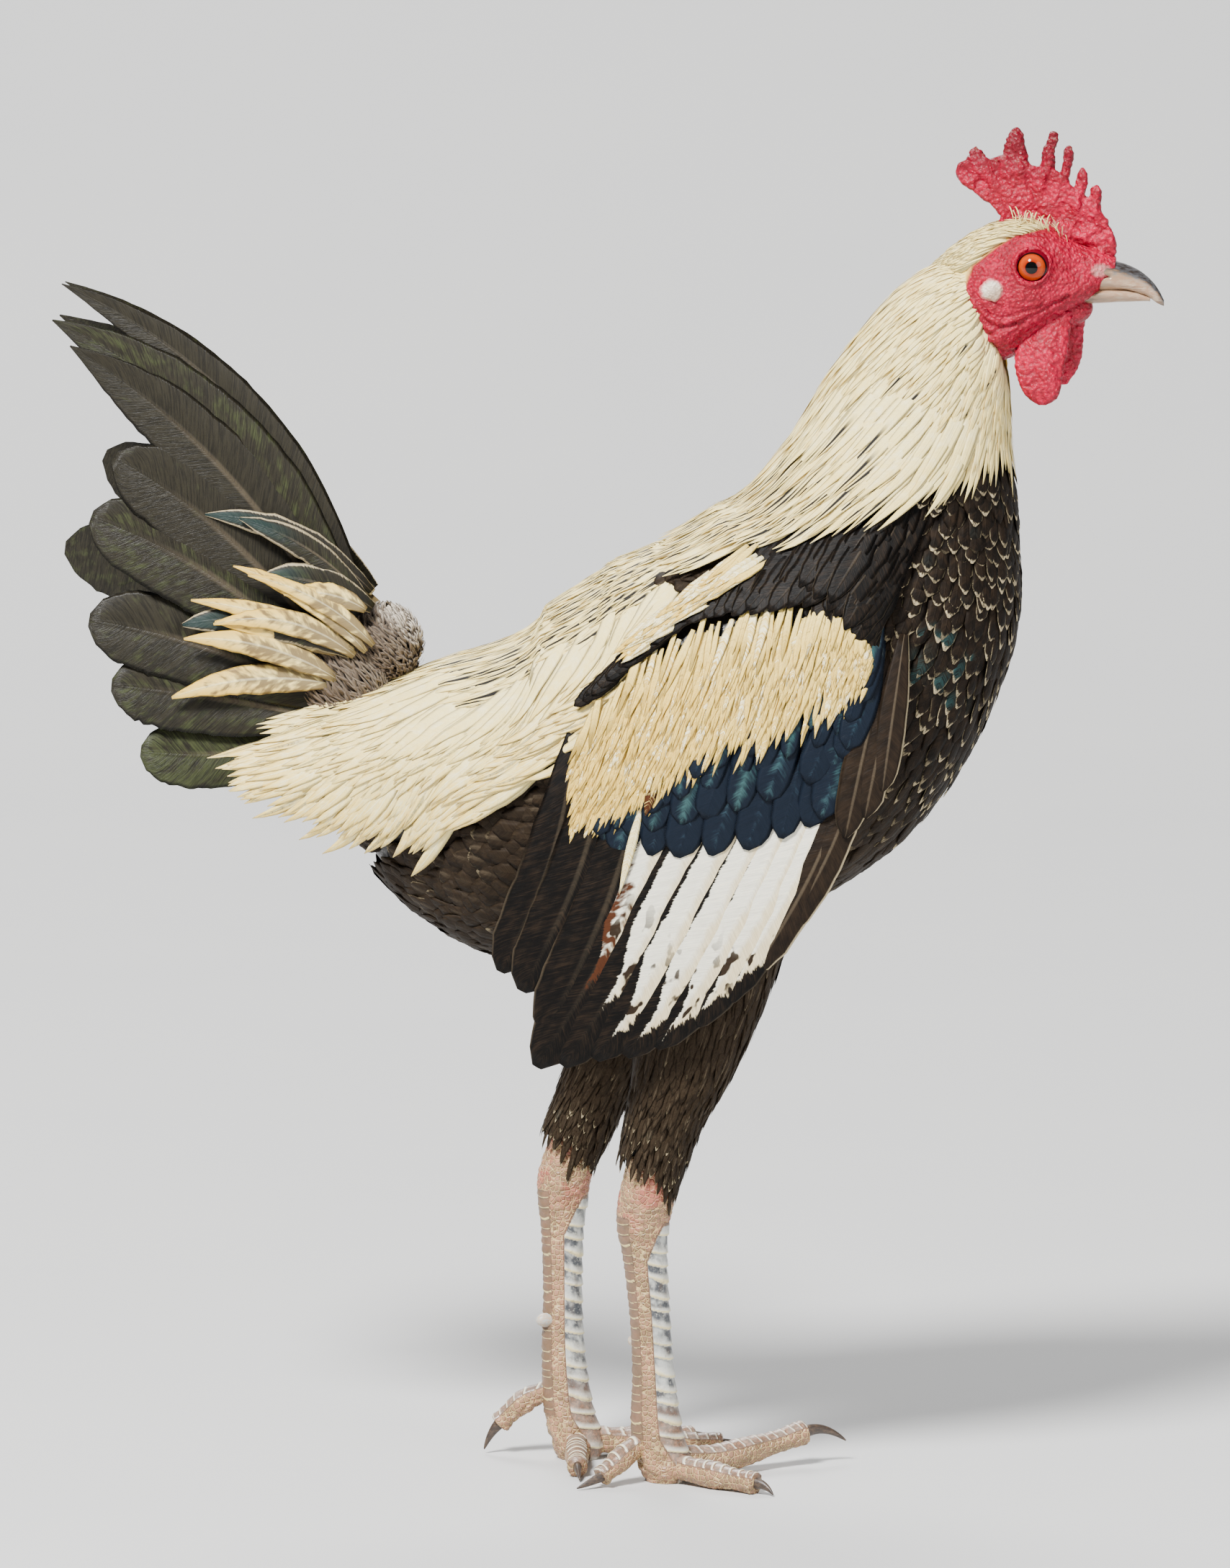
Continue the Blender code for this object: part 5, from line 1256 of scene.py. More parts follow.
def make_wing(sizes, name, side):
    """One wing: flight feathers, bar, black coverts, bow, scapulars and the long feathers in front."""
    coat = Feathers(41 + side, front=side)
    draw = coat.draw
    flight_feathers(coat, side)
    lean = math.radians(-107)
    share, rise = grid_shares(draw, 10, 1, 0.06)
    wing_bed(coat, side, share, BAR_LOW, BOW_LOW, rise * 0, 34, lean + draw.normal(0, 0.05, 10),
             draw.uniform(4.4, 5.6, 10), "broad", (-3.0, 0.3), mark=BAR, rows=14, columns=9,
             roll=side * np.full(10, -4.0), fray=0.012, patch=0.02, camber=0.06)
    share, rise = grid_shares(draw, 12, 1, 0.08)
    wing_bed(coat, side, share, BAR_LOW, BOW_LOW, 0.45 + rise * 0, 24, lean + draw.normal(0, 0.07, 12),
             draw.uniform(3.6, 4.8, 12), "broad", (-2.0, 0.45), mark=BAR, rows=12, columns=9,
             roll=side * np.full(12, -3.0), fray=0.015, camber=0.06)
    share, rise = grid_shares(draw, 16, 2, 0.1)
    wing_bed(coat, side, share, BAR_LOW, BOW_LOW, 0.78 + rise * 0.4, 17, lean + draw.normal(0, 0.1, 32),
             draw.uniform(2.2, 3.2, 32), "broad", (-1.5, 0.6), mark=BAR, rows=9, columns=7, roll=3, fray=0.02,
             camber=0.06)
    black = {"mark": BLACK, "rows": 9, "columns": 7, "roll": 1, "camber": 0.03, "fray": 0.06}
    share, rise = grid_shares(draw, 20, 8, 0.12)
    lean_top = math.radians(-118) - 0.5 * share + draw.normal(0, 0.04, len(share))
    keep = (share < 0.94) & (rise < np.interp(share, [0.4, 0.55, 1], [1, 0.75, 0.5]))
    share, rise, lean_top = share[keep], rise[keep], lean_top[keep]
    length, half = (np.interp(share, [0.3, 0.5, 1], row) for row in ([22, 13, 9], [3.8, 2.8, 2.0]))
    wing_bed(coat, side, share, BOW_TOP, WING_TOP, rise * 0.98 - 0.05, length, lean_top, half, "narrow",
             (-1.4 - 2.5 * rise, 0.5 - 2.5 * rise**2), **black)
    share, rise = grid_shares(draw, 6, 8, 0.12)
    lean_front = math.radians(-103) + draw.normal(0, 0.04, len(share))
    wing_bed(coat, side, share * 0.2, BAR_LOW, WING_TOP, 0.5 + rise * 0.48, 20, lean_front, 4.0, "narrow",
             (-1.6 - 2.0 * rise, 0.4 - 2.0 * rise**2), **black)
    share, rise = grid_shares(draw, sizes.bow_columns, sizes.bow_rows, 0.3)
    lean_bow = math.radians(-99) + draw.normal(0, 0.08, len(share)) - 0.25 * share
    tall = np.linalg.norm(along(BOW_TOP, share) - along(BOW_LOW, share), axis=-1).clip(14, 40)
    ends = rise * 0.66 - 0.04 + draw.normal(0, 0.04, len(rise))
    wing_bed(coat, side, share, BOW_LOW, BOW_TOP, ends, tall * draw.uniform(0.36, 0.5, len(share)), lean_bow,
             draw.uniform(0.75, 1.35, len(share)), "pointed", (-1.0, 1.0), mark=BOW,
             dark=(rise > 0.86) * 0.6 * draw.random(len(share)), rows=7, roll=7, fray=0.12, camber=0.12)
    share, rise = grid_shares(draw, 24, 4)
    lean_scapular = math.radians(-143) + draw.normal(0, 0.08, len(share))
    wing_bed(coat, side, 0.44 + share * 0.32, WING_TOP, SCAPULAR_TOP, rise * 0.55 - 0.12, 13, lean_scapular,
             1.1, "pointed", (-0.8, 1.2), mark=np.where(draw.random(len(share)) < 0.6, BOW, PALE),
             roll=6, camber=0.1, fray=0.12)
    roots, tips, half = zip(*LOOSE_PLUMES)
    coat.bed(wing_lie(side), roots, tips, half, "slim", (0.4, 1.4), [[0.42, 0.5], [0.42, 0.55]], PALE,
             [0.0, 1.0], rows=10, roll=2, fray=0.03, camber=0.1)
    for number, (root, tip, half) in enumerate(FRONT_PANEL):
        coat.bed(wing_lie(side), [root], [tip], half, "broad", (-3.0, 0.6 - 0.4 * number),
                 [[0.9, 0.2 + 0.1 * number]], EDGED, 0.0, rows=16, columns=9, camber=0.12,
                 roll=side * np.array([-6.0]), fray=0.015, patch=0.03)
    coat.piece(f"wing_feathers_{name}", "wing_feathers", "wing_plume", f"wing_{name}")


def make_wings(look, sizes):
    """Both wings, with every kind of their feathers."""
    for name, side in SIDES:
        make_wing(sizes, name, side)


def tail_path(row, side, s):
    """The curved centre line of a tail feather."""
    root_x, root_z, tip_x, tip_z, bulge, _, root_y, tip_y = row
    way = unit(np.array([tip_x - root_x, tip_z - root_z]))
    lift = bulge * 4 * s * (1 - s)
    x = root_x + (tip_x - root_x) * s + way[1] * lift
    z = root_z + (tip_z - root_z) * s - way[0] * lift
    return np.stack([x, side * (root_y + (tip_y - root_y) * s), z], -1)


def make_tail(look, sizes):
    """Both halves of the tail: sickle and main feathers, and the coverts at its root."""
    coat = Feathers(51)
    s = np.linspace(0, 1, 40) ** 0.8
    short = s[::2]
    for _, side in SIDES:
        roll = np.array([12.0 * side])
        rows = [list(row) for row in TAIL_FEATHERS]
        if side > 0:
            rows[3][2:4], rows[4][2:4] = TAIL_TIPS_LEFT
        for number, row in enumerate(rows):
            profile = outline("sickle" if number < 3 else "broad", s) * row[5]
            bake = [0.25 + 0.5 * (side > 0) + 0.02 * number, 0.5]
            coat.vane(tail_path(row, side, s), side, profile, s, bake, 0.0, 0.0, columns=17, camber=0.1,
                      roll=roll, fray=0.015, patch=(0.018, 0.8))
        rows = along(TAIL_COVERTS, np.linspace(0, 1, sizes.tail_coverts))
        rows = rows + coat.draw.normal(0, 1, rows.shape) * TAIL_COVERT_SPREAD
        for number, row in enumerate(rows):
            gold = float(coat.draw.random() < 0.45)
            profile = outline("slim" if gold else "sickle", short) * row[5] * (0.8 - 0.2 * gold)
            bake = [0.1 + 0.5 * (side > 0), number / 40]
            coat.vane(tail_path(row, side, short), side, profile, short, bake, 1.0, gold, columns=11,
                      camber=0.15, roll=roll, fray=0.04, patch=0.01)
    coat.piece("tail_feathers", "tail_feathers", "tail_plume", "tail")


def dome_lie(at, sizes):
    """An ellipsoid: angle down from its top and angle round it."""

    def point(down, turn, lift):
        long, wide, high = (size + lift for size in sizes)
        x, y = long * np.sin(down) * np.cos(turn), wide * np.sin(down) * np.sin(turn)
        return np.stack([at[0] + x, at[1] + y, at[2] + high * np.cos(down)], -1)

    return point


def make_down(look, sizes):
    """Pale down over the tail's root, browner behind."""
    coat = Feathers(61)
    for (at, reach), count in zip(TAIL_DOMES, (3400, 2400)):
        down = np.arccos(coat.draw.uniform(-0.85, 0.9, count))
        turn = coat.draw.uniform(-math.pi, math.pi, count)
        spots = np.stack([down, turn], -1)
        aside = np.sign(turn) * coat.draw.uniform(0.1, 0.5, count)
        tips = np.stack([down - coat.draw.uniform(0.1, 0.45, count), turn + aside], -1)
        behind = 0.9 - 1.1 * np.sin(down) * np.cos(turn) - 0.6 * np.cos(down)
        dark = np.clip(behind + coat.draw.normal(0, 0.15, count), 0, 1)
        lift = (-2.4, coat.draw.uniform(-1.2, 0.4, count))
        coat.bed(dome_lie(at, reach), spots, tips, 0.42, "narrow", lift, spots / 7 + 0.5, 0.0, dark,
                 rows=5, columns=3, fray=0.15, roll=8, camber=0.1)
    coat.piece("tail_down", "tail_feathers", "down_plume")


def make_thigh_coat(look, sizes):
    """Narrow feathers down both thighs, with frayed pale ends over the bare shanks."""
    coat = Feathers(71)
    for name, side in SIDES:
        rows = THIGHS[name] + SHANKS[name][1:3]
        lie = level_lie(rows, side)
        for number, place in enumerate(np.arange(0.0, 0.9, 0.018)):
            _, _, _, long, wide = along(rows, place)
            count = round(math.pi * (long + wide) / 2.2)
            angle = staggered(coat.draw, count, number, 0.2) * 2 * math.pi
            roots = np.stack([np.full(count, place), angle], -1)
            down = place + coat.draw.uniform(0.08, 0.13, count)
            aside = angle + coat.draw.normal(0, 0.06, count)
            tips = np.stack([down, aside], -1)
            x, y, z = lie(down.clip(0, 1), aside, 0 * angle).T
            keep = trunk_width(x, z) < np.abs(y) + 2
            keep &= z > 79 - 5.5 * np.cos(angle) + coat.draw.normal(0, 1.6, count)
            roots, tips, z = roots[keep], tips[keep], z[keep]
            low = (z < 92 - 5.5 * np.cos(roots[:, 1])) * coat.draw.random(len(z))
            bake = np.stack([roots[:, 1] / 13 + 0.5 * (side > 0), roots[:, 0]], -1) * 0.98 + 0.01
            coat.bed(lie, roots, tips, 1.4 - 0.8 * place, "narrow", (-1.2, 0.1 + 0.5 * place), bake,
                     0.8 * (low > 0.6) + 0.1, 0.8, rows=7, roll=4, fray=0.12, camber=0.1)
    coat.piece("thigh_feathers", "thigh_feathers", "body_plume")


def make_head_coat(look, sizes):
    """Small feathers of the crown, nape and cheeks, round the bare face, and bristles beside the comb."""
    coat = Feathers(81)
    lie = upright_lie(SKULL)
    count = 9000
    spots = np.stack([coat.draw.uniform(0.02, 0.8, count), coat.draw.uniform(-math.pi, math.pi, count)], -1)
    x, y, z = lie(spots[:, 0], spots[:, 1], 0 * spots[:, 0]).T
    under_comb = (np.abs(y) < 1.8) & (x > 104) & (z > 326)
    keep = (face_bare(x, z) < 0.3) & (x > 92.5) & (x < 119) & ~under_comb
    spots, x = spots[keep], x[keep]
    long = np.interp(x, [92, 104, 120], [11.0, 6.0, 3.8]) / 46
    drift = np.where(x < 104, 0.12, 0.03) * np.sign(spots[:, 1])
    tips = np.stack([spots[:, 0] - long, spots[:, 1] + drift + coat.draw.normal(0, 0.03, len(x))], -1)
    ahead = tips[:, 0] > -0.08
    spots, tips, x = spots[ahead], tips[ahead], x[ahead]
    half = np.interp(x, [92, 106, 122], [1.0, 0.55, 0.3])
    lift = (-1.2, np.interp(x, [92, 99], [-0.6, 0.25]))
    coat.bed(lie, spots, tips, half, "narrow", lift, tube_bake(spots), 0.1, 0.0,
             rows=5, columns=3, fray=0.12, roll=6, camber=0.1)
    count = 80
    x = coat.draw.uniform(105, 118, count)
    side = np.sign(coat.draw.normal(size=count))
    spots = np.stack([(x - 89) / 44.6, side * coat.draw.uniform(0.18, 0.5, count)], -1)
    back = coat.draw.uniform(-0.06, 0.03, count)
    tips = spots + np.stack([back, -side * coat.draw.uniform(0.0, 0.1, count)], -1)
    lift = (-0.5, coat.draw.uniform(1.0, 3.6, count))
    coat.bed(lie, spots, tips, 0.2, "narrow", lift, tube_bake(spots), 0.1, 0.0, columns=3, fray=0.1, roll=20)
    coat.piece("head_feathers", "hackle_feathers", "straw_plume")


# The upper and the lower beak: x, z, half width, rise, drop.
BEAK_UPPER = (
    (126.0, 317.6, 4.9, 5.4, 3.6),
    (132.4, 317.6, 4.4, 4.8, 3.0),
    (137.2, 316.9, 3.6, 4.2, 2.4),
    (141.4, 315.4, 2.5, 3.3, 2.1),
    (144.6, 313.2, 1.3, 2.0, 1.9),
    (146.2, 311.3, 0.45, 0.8, 0.7),
)
BEAK_LOWER = (
    (122.0, 313.2, 4.4, 1.4, 2.4),
    (131, 313.7, 3.8, 1.6, 2.4),
    (137, 313.6, 2.8, 1.4, 1.9),
    (142.6, 312.6, 1.1, 0.6, 0.8),
)
NOSTRIL_AT = (131.2, 319.6)

# The blade of the comb without its points, and the points: root, tip, half width at both ends.
COMB_BLADE = (
    (131.9, 320), (133.2, 324.5), (133.0, 328.5), (131.2, 332.6), (126.6, 338.6), (121.6, 341.6),
    (118.6, 345.0), (114.5, 346.6), (111.0, 347.0), (106.0, 349.2), (100.6, 348.6), (96.0, 349.4),
    (92.9, 347.4), (92.2, 344.8), (93.6, 342.6), (97, 340.2), (100.6, 337.4), (104.0, 334.0),
    (103, 330.2), (112, 326.5), (121, 322.5), (127, 318.0),
)
COMB_POINTS = (
    ((127.6, 333.5), (128.6, 342.0), 2.4, 0.95),
    ((123.4, 336.0), (124.9, 346.6), 2.3, 1.0),
    ((119.7, 341.0), (121.4, 352.2), 1.5, 1.05),
    ((114.8, 344.0), (117.5, 355.9), 2.1, 1.35),
    ((107.6, 345.0), (107.2, 356.6), 4.4, 1.9),
    ((98.4, 343.5), (96.8, 351.8), 3.4, 1.5),
)
COMB_FOLDS = (
    ((126.2, 339.9), (124.0, 335.0), (124.5, 330.0)),
    ((121.2, 343.7), (119.0, 339.0), (120.0, 334.0)),
    ((118.4, 351.3), (116.3, 345.0), (115.0, 339.5)),
    ((110.7, 348.3), (110.6, 343.5), (112.4, 339.0)),
    ((100.4, 349.8), (102.0, 345.2), (107.0, 340.8)),
    ((93.5, 346.0), (98.0, 343.5), (103.0, 338.8)),
    ((131.0, 327.0), (127.0, 325.5), (122.5, 327.5)),
    ((131.9, 331.5), (128.0, 329.0), (124.0, 331.5)),
)
WATTLES = {  # z, x, distance from the mid plane, half length, half thickness
    "right": (
        (309.5, 119.0, 4.4, 3.6, 1.9),
        (305, 116.3, 5.6, 5.9, 2.2),
        (300, 115.0, 6.8, 6.7, 2.4),
        (295, 114.7, 7.8, 6.4, 2.3),
        (290.5, 114.9, 8.4, 5.3, 2.0),
        (287.2, 115.2, 8.6, 3.6, 1.6),
        (285.3, 115.2, 8.6, 1.2, 0.7),
    ),
    "left": (
        (310.5, 121.9, 4.2, 4.0, 1.9),
        (304.5, 119.7, 5.8, 5.4, 2.2),
        (300, 118.7, 6.8, 6.0, 2.4),
        (296, 118.4, 7.6, 5.6, 2.2),
        (292, 118.6, 8.0, 4.2, 1.9),
        (289, 118.9, 8.2, 1.8, 1.0),
    ),
}
LOBE_AT = (102.3, 12.9, 315.5)
LOBE_SIZE = (3.3, 1.2, 3.0)

# Shanks from the top down: z, x, y from the mid plane, half length, half width.
SHANKS = {
    "right": (
        (88, 15.2, 21.2, 6.6, 5.4),
        (76, 13.0, 20.1, 7.4, 6.4),
        (68, 12.0, 19.5, 6.6, 5.8),
        (60, 12.5, 19.0, 5.6, 4.9),
        (44, 13.7, 18.0, 5.1, 4.5),
        (29, 14.4, 16.5, 5.3, 4.6),
        (14, 15.2, 15.5, 6.6, 5.8),
        (4.5, 17.5, 14.7, 7.0, 6.9),
        (0.1, 17.8, 14.5, 5.4, 5.4),
    ),
    "left": (
        (88, -9.2, 21.2, 6.6, 5.4),
        (76, -12.7, 20.1, 7.2, 6.4),
        (68, -13.4, 19.5, 6.4, 5.8),
        (60, -13.5, 19.0, 5.4, 4.9),
        (44, -13.3, 18.0, 5.0, 4.5),
        (29, -13.0, 16.5, 5.5, 4.6),
        (14, -11.6, 15.5, 6.4, 5.8),
        (4.5, -8.9, 14.7, 7.0, 6.9),
        (0.1, -8.7, 14.5, 5.4, 5.4),
    ),
}
# The line of each toe, from the foot out, the tip of its claw, and the half width at its root and end.
TOES = {
    "right": (
        ("middle", ((15, -16, 6), (30, -6, 4.6), (42, 3.5, 6.2), (52, 10.5, 8.8)),
         (62.5, 16.5, 5.6), 3.9, 2.9),
        ("outer", ((16, -15, 4.8), (27, -21.5, 3.8), (35.5, -26.5, 3.2), (43, -30.5, 2.7)),
         (47.8, -34, 0.6), 3.6, 2.7),
        ("inner", ((17, -14, 4.8), (23.5, -5, 3.8), (28.5, 1.5, 3.3), (32.5, 7, 2.7)),
         (38, 11.5, 0.6), 3.3, 2.5),
        ("hind", ((14, -15, 12), (8.5, -19.8, 8.4), (4.5, -23.6, 5), (1.8, -26.4, 2.9)),
         (-4.2, -31, 0.6), 3.1, 2.5),
    ),
    "left": (
        ("middle", ((-10, 14.5, 5.2), (6, 17, 4), (18, 19.3, 3.4), (29, 21.4, 2.8)),
         (37.5, 23, 0.6), 3.8, 2.8),
        ("outer", ((-9, 15, 4.8), (3, 21.5, 3.8), (12, 27, 3.2), (20, 31.8, 2.7)),
         (26.6, 35.4, 0.6), 3.5, 2.6),
        ("inner", ((-9, 14, 4.8), (-8, 3, 3.8), (-6.8, -6, 3.2), (-6, -13, 2.7)),
         (-4.6, -19.8, 0.6), 3.3, 2.5),
        ("hind", ((-13, 15.8, 18.5), (-21, 16.8, 15.8), (-26.5, 17, 11.8), (-30, 17, 8.2)),
         (-34.2, 17, 1.2), 3, 2.6),
    ),
}
SCUTE_HEIGHT, TOE_SCUTE = 4.2, 2.9
# Distance out and half width.
SPUR = ((1.5, 1.9), (4.5, 1.9), (6.0, 1.8), (7.1, 1.4), (7.8, 0.8), (8.05, 0.25))


def solid_from(name, meshes, voxel, smooth):
    """One even skin over several overlapping closed meshes."""
    build = bmesh.new()
    for mesh in meshes:
        build.from_mesh(mesh)
    rough = bpy.data.meshes.new(name)
    build.to_mesh(rough)
    build.free()
    thing = linked(name, rough)
    remesh = thing.modifiers.new("even", "REMESH")
    remesh.mode = "VOXEL"
    remesh.voxel_size = voxel * MM
    soften = thing.modifiers.new("soften", "SMOOTH")
    soften.factor = 0.5
    soften.iterations = smooth
    return finished(thing, name)


def push(mesh, heights):
    """Moves every point of a mesh along its normal, by millimetres."""
    normals = np.zeros(len(mesh.vertices) * 3)
    mesh.vertices.foreach_get("normal", normals)
    points = mesh_points(mesh) + normals.reshape(-1, 3) * heights[:, None]
    mesh.vertices.foreach_set("co", (points * MM).ravel())
    mesh.update()


def plate(name, shape, half):
    """A flat closed plate in the mid plane."""
    count = len(shape)
    points = [(x, side * half, z) for side in (-1, 1) for x, z in shape]
    near, far = list(range(count)), list(range(count, 2 * count))
    faces = [near, far[::-1]] + [[near[i - 1], far[i - 1], far[i], near[i]] for i in (*near[1:], 0)]
    mesh = bpy.data.meshes.new(name)
    mesh.from_pydata((np.array(points) * MM).tolist(), [], faces)
    return faced(mesh, True)


def finger(name, root, tip, wide, narrow, thick):
    """A rounded tapering point of the comb."""
    places = np.linspace(0, 1, 14)
    centres = np.array(root) + (np.array(tip) - root) * places[:, None]
    way = unit(np.array(tip, float) - root)
    size = (wide + (narrow - wide) * places**0.7) * np.sqrt(np.clip(1.02 - places**8, 0.02, 1))
    angles = round_angles(16)
    rings = []
    for centre, half, place in zip(centres, size, places):
        deep = thick * (1 - 0.25 * place) * half / size[0] ** 0.3 / half**0.7 * min(1, half / narrow)
        across = np.cos(angles) * half
        x, z = centre[0] + way[1] * across, centre[1] - way[0] * across
        rings.append(np.stack([x, deep * np.sin(angles), z], -1))
    return loft(name, rings)


def make_comb(look, sizes):
    """The comb's blade and points under one skin, with pebbles and creases."""
    pieces = [plate("blade", COMB_BLADE, 1.15)]
    for number, row in enumerate(COMB_POINTS):
        pieces.append(finger(f"point_{number}", *row, 1.7))
    pieces.append(ellipsoid("comb_foot", (116, 0, 328.5), (12, 2.6, 4.5)))
    mesh = solid_from("comb", pieces, 0.36, 8)
    points = mesh_points(mesh)
    x, _, z = points.T
    height = (pebbles(points, 1.5, 9) - 0.5) * 0.2 + (pebbles(points, 5.0, 10) - 0.5) * 0.7 + 0.25
    for fold in COMB_FOLDS:
        gap = gap_to(fold, 20, x, z)
        height = height - 0.3 * np.exp(-((gap / 0.6) ** 2)) + 0.12 * np.exp(-(((gap - 1.5) / 0.8) ** 2))
    height = height + 0.1 * np.sin(z * 4.2 + np.sin(x)) * np.clip((z - 346) / 4, 0, 1)
    push(mesh, height)
    new_piece("comb_skin", mesh, ("comb",), "comb_flesh")


def make_wattles(look, sizes):
    """Both wattles, long drops of pebbled skin."""
    for name, side in SIDES:
        grid, out = grid_and_way(level_lie(WATTLES[name], side), 110, 120)
        x, z = grid[..., 0], grid[..., 2]
        fold = 0.35 * np.sin(x * 0.8 + z * 0.2) * np.clip((302 - z) / 8, 0, 1)
        height = (pebbles(grid, 1.6, 12) - 0.5) * 0.22 + fold
        mesh = loft(f"wattle_{name}", grid + out * height[..., None])
        new_piece(f"wattle_skin_{name}", mesh, (f"wattle_{name}",), "comb_flesh")


def make_lobes(look, sizes):
    """Both ear lobes, small soft domes."""
    for name, side in SIDES:
        mesh = ellipsoid(f"lobe_{name}", (LOBE_AT[0], side * LOBE_AT[1], LOBE_AT[2]), LOBE_SIZE, 50, 70)
        points = mesh_points(mesh)
        push(mesh, (pebbles(points, 1.3, 15) - 0.5) * 0.15 + (pebbles(points, 3.6, 16) - 0.5) * 0.4)
        new_piece(f"lobe_skin_{name}", mesh, (f"earlobe_{name}",), "ear_lobe")


def make_eyes(look, sizes):
    """Both eyes, with the lens standing a little proud."""
    for name, side in SIDES:
        at = (EYE_AT[0], side * EYE_AT[1], EYE_AT[2])
        mesh = ellipsoid(f"eye_{name}", at, (EYE_RADIUS - 0.1,) * 3, 48, 64)
        x, y, z = mesh_points(mesh).T
        reach = np.hypot(x - EYE_AT[0], z - EYE_AT[2])
        push(mesh, 0.35 * np.clip(1 - reach / 3.2, 0, 1) ** 0.5 * (y * side > EYE_AT[1]))
        new_piece(f"eye_ball_{name}", mesh, (f"eye_{name}",), "eye")


def beak_mesh(name, rows, stations, sides):
    """A beak with a ridge along its top and, on the upper half, a nostril on each side under a soft flap."""
    grid, out = grid_and_way(upright_lie(rows), stations, sides)
    upper = rows is BEAK_UPPER
    dx, dz = grid[..., 0] - NOSTRIL_AT[0], grid[..., 2] - NOSTRIL_AT[1]
    flap = 0.75 * np.exp(-((dx / 2.6) ** 2) - ((dz - 0.4) / 1.2) ** 2)
    slit = -1.3 * np.exp(-((dx / 1.4) ** 4) - ((dz + 1.0 + 0.08 * dx**2) / 0.3) ** 2)
    height = (flap + slit) * (np.abs(out[..., 1]) > 0.3) * upper
    height = height + (pebbles(grid * (0.4, 1, 1), 2.2, 18) - 0.5) * 0.12
    ridge = np.cos(round_angles(sides))[None] * np.ones((stations, 1)) * upper
    return loft(name, grid + out * height[..., None], {"ridge": ridge.ravel()})


def make_beak(look, sizes):
    """The upper and the lower half of the beak."""
    halves = (("top", "upper", BEAK_UPPER, 90, 96), ("under", "lower", BEAK_LOWER, 60, 72))
    for name, node, rows, stations, sides in halves:
        mesh = beak_mesh(f"beak_{name}", rows, stations, sides)
        new_piece(f"beak_{name}", mesh, (f"beak_{node}",), "beak_keratin")


def shank_arrays(rows, side):
    """The shank with overlapping scutes before and behind and soft skin of small scales between."""
    grid, out = grid_and_way(level_lie(rows, side), 340, 84)
    angles = np.repeat(((round_angles(84) + math.pi) % (2 * math.pi) - math.pi)[None], 340, 0)
    z = grid[..., 2]
    reach = np.radians(np.interp(z, [3, 12, 60, 70], [60, 84, 84, 40]))
    front = np.clip((reach - np.abs(angles)) / 0.12, 0, 1) * np.clip((71 - z) / 2, 0, 1)
    back_angle = math.pi - np.abs(angles)
    back = np.clip((math.radians(68) - back_angle) / 0.12, 0, 1) * np.clip((73 - z) / 2, 0, 1) * (z > 12)
    uneven = z + 0.45 * np.sin(z * 0.53) + 0.2 * np.sin(z * 1.31 + 1)
    phase = (72 - uneven - 1.7 * (1 - (angles / 1.4) ** 2)) / SCUTE_HEIGHT % 1
    phase_back = (70 - uneven - np.abs(np.sin(back_angle * 2.3))) / (SCUTE_HEIGHT * 0.6) % 1
    step = np.where(front > 0, phase, phase_back)
    plated = np.maximum(front, back * 0.62)
    lip = np.clip((1 - step) / 0.08, 0, 1)
    height = np.maximum(front, back) * (0.1 + 0.5 * step) * lip * np.where(front > 0, 1.0, 0.6)
    seam = np.exp(-((np.sin(back_angle) / 0.12) ** 2)) * back * (np.cos(back_angle) > 0.9)
    soft = (pebbles(grid, 1.8, 21) - 0.5) * 0.3 * (1 - plated) - 0.25 * seam
    joint = 0.9 * np.exp(-(((z - 5) / 4) ** 2)) * (pebbles(grid, 5, 22) - 0.5)
    grid = grid + out * (height + soft + joint * (z > 1))[..., None]
    grid[..., 2] = np.maximum(grid[..., 2], 0.05)
    # rim: how far up the lower part of each scute the painted shine reaches.
    rim_front, rim_back = np.clip((step - 0.25) / 0.7, 0, 1), np.clip((step - 0.68) / 0.18, 0, 1)
    return grid, plated, np.where(front > 0, front * rim_front, back * rim_back)


def toe_arrays(line, first, last):
    """A toe with scutes over its top and swollen pads below."""
    places = np.linspace(0, 1, 120)
    angles = round_angles(48)
    centres = along(line, places)
    ways = unit(np.gradient(centres, axis=0))
    across, over = square_ways(ways)
    long = np.linalg.norm(np.diff(centres, axis=0), axis=1).sum()
    off_top = (angles - math.pi / 2 + math.pi) % (2 * math.pi) - math.pi
    top = np.clip((math.radians(62) - np.abs(off_top)) / 0.15, 0, 1)
    phase = (places[:, None] * long + 0.9 * (1 - (off_top / 1.1)[None] ** 2)) / TOE_SCUTE % 1
    lip = np.clip((1 - phase) / 0.1, 0, 1)
    scute = top[None] * (0.12 + 0.32 * phase) * lip
    wide = (first + (last - first) * places) * (1 + 0.09 * np.cos(places * 4 * math.pi))
    size = (wide[:, None] + scute) * np.where(places[:, None] > 0.97, 0.92, 1)
    ring = across[:, None] * np.cos(angles)[None, :, None] + over[:, None] * np.sin(angles)[None, :, None]
    grid = centres[:, None] + ring * size[..., None]
    under = np.sin(angles)[None] < -0.2
    grid = grid + ring * ((pebbles(grid, 1.6, 25) - 0.5) * 0.35 * under)[..., None]
    grid[..., 2] = np.maximum(grid[..., 2], 0.05)
    plated = np.broadcast_to(top[None], scute.shape) * (1 - 0.5 * (1 - lip))
    # The last value is the rim, where the painted shine lies on each toe scute.
    return grid, plated, top[None] * np.clip((phase - 0.6) / 0.3, 0, 1) * lip


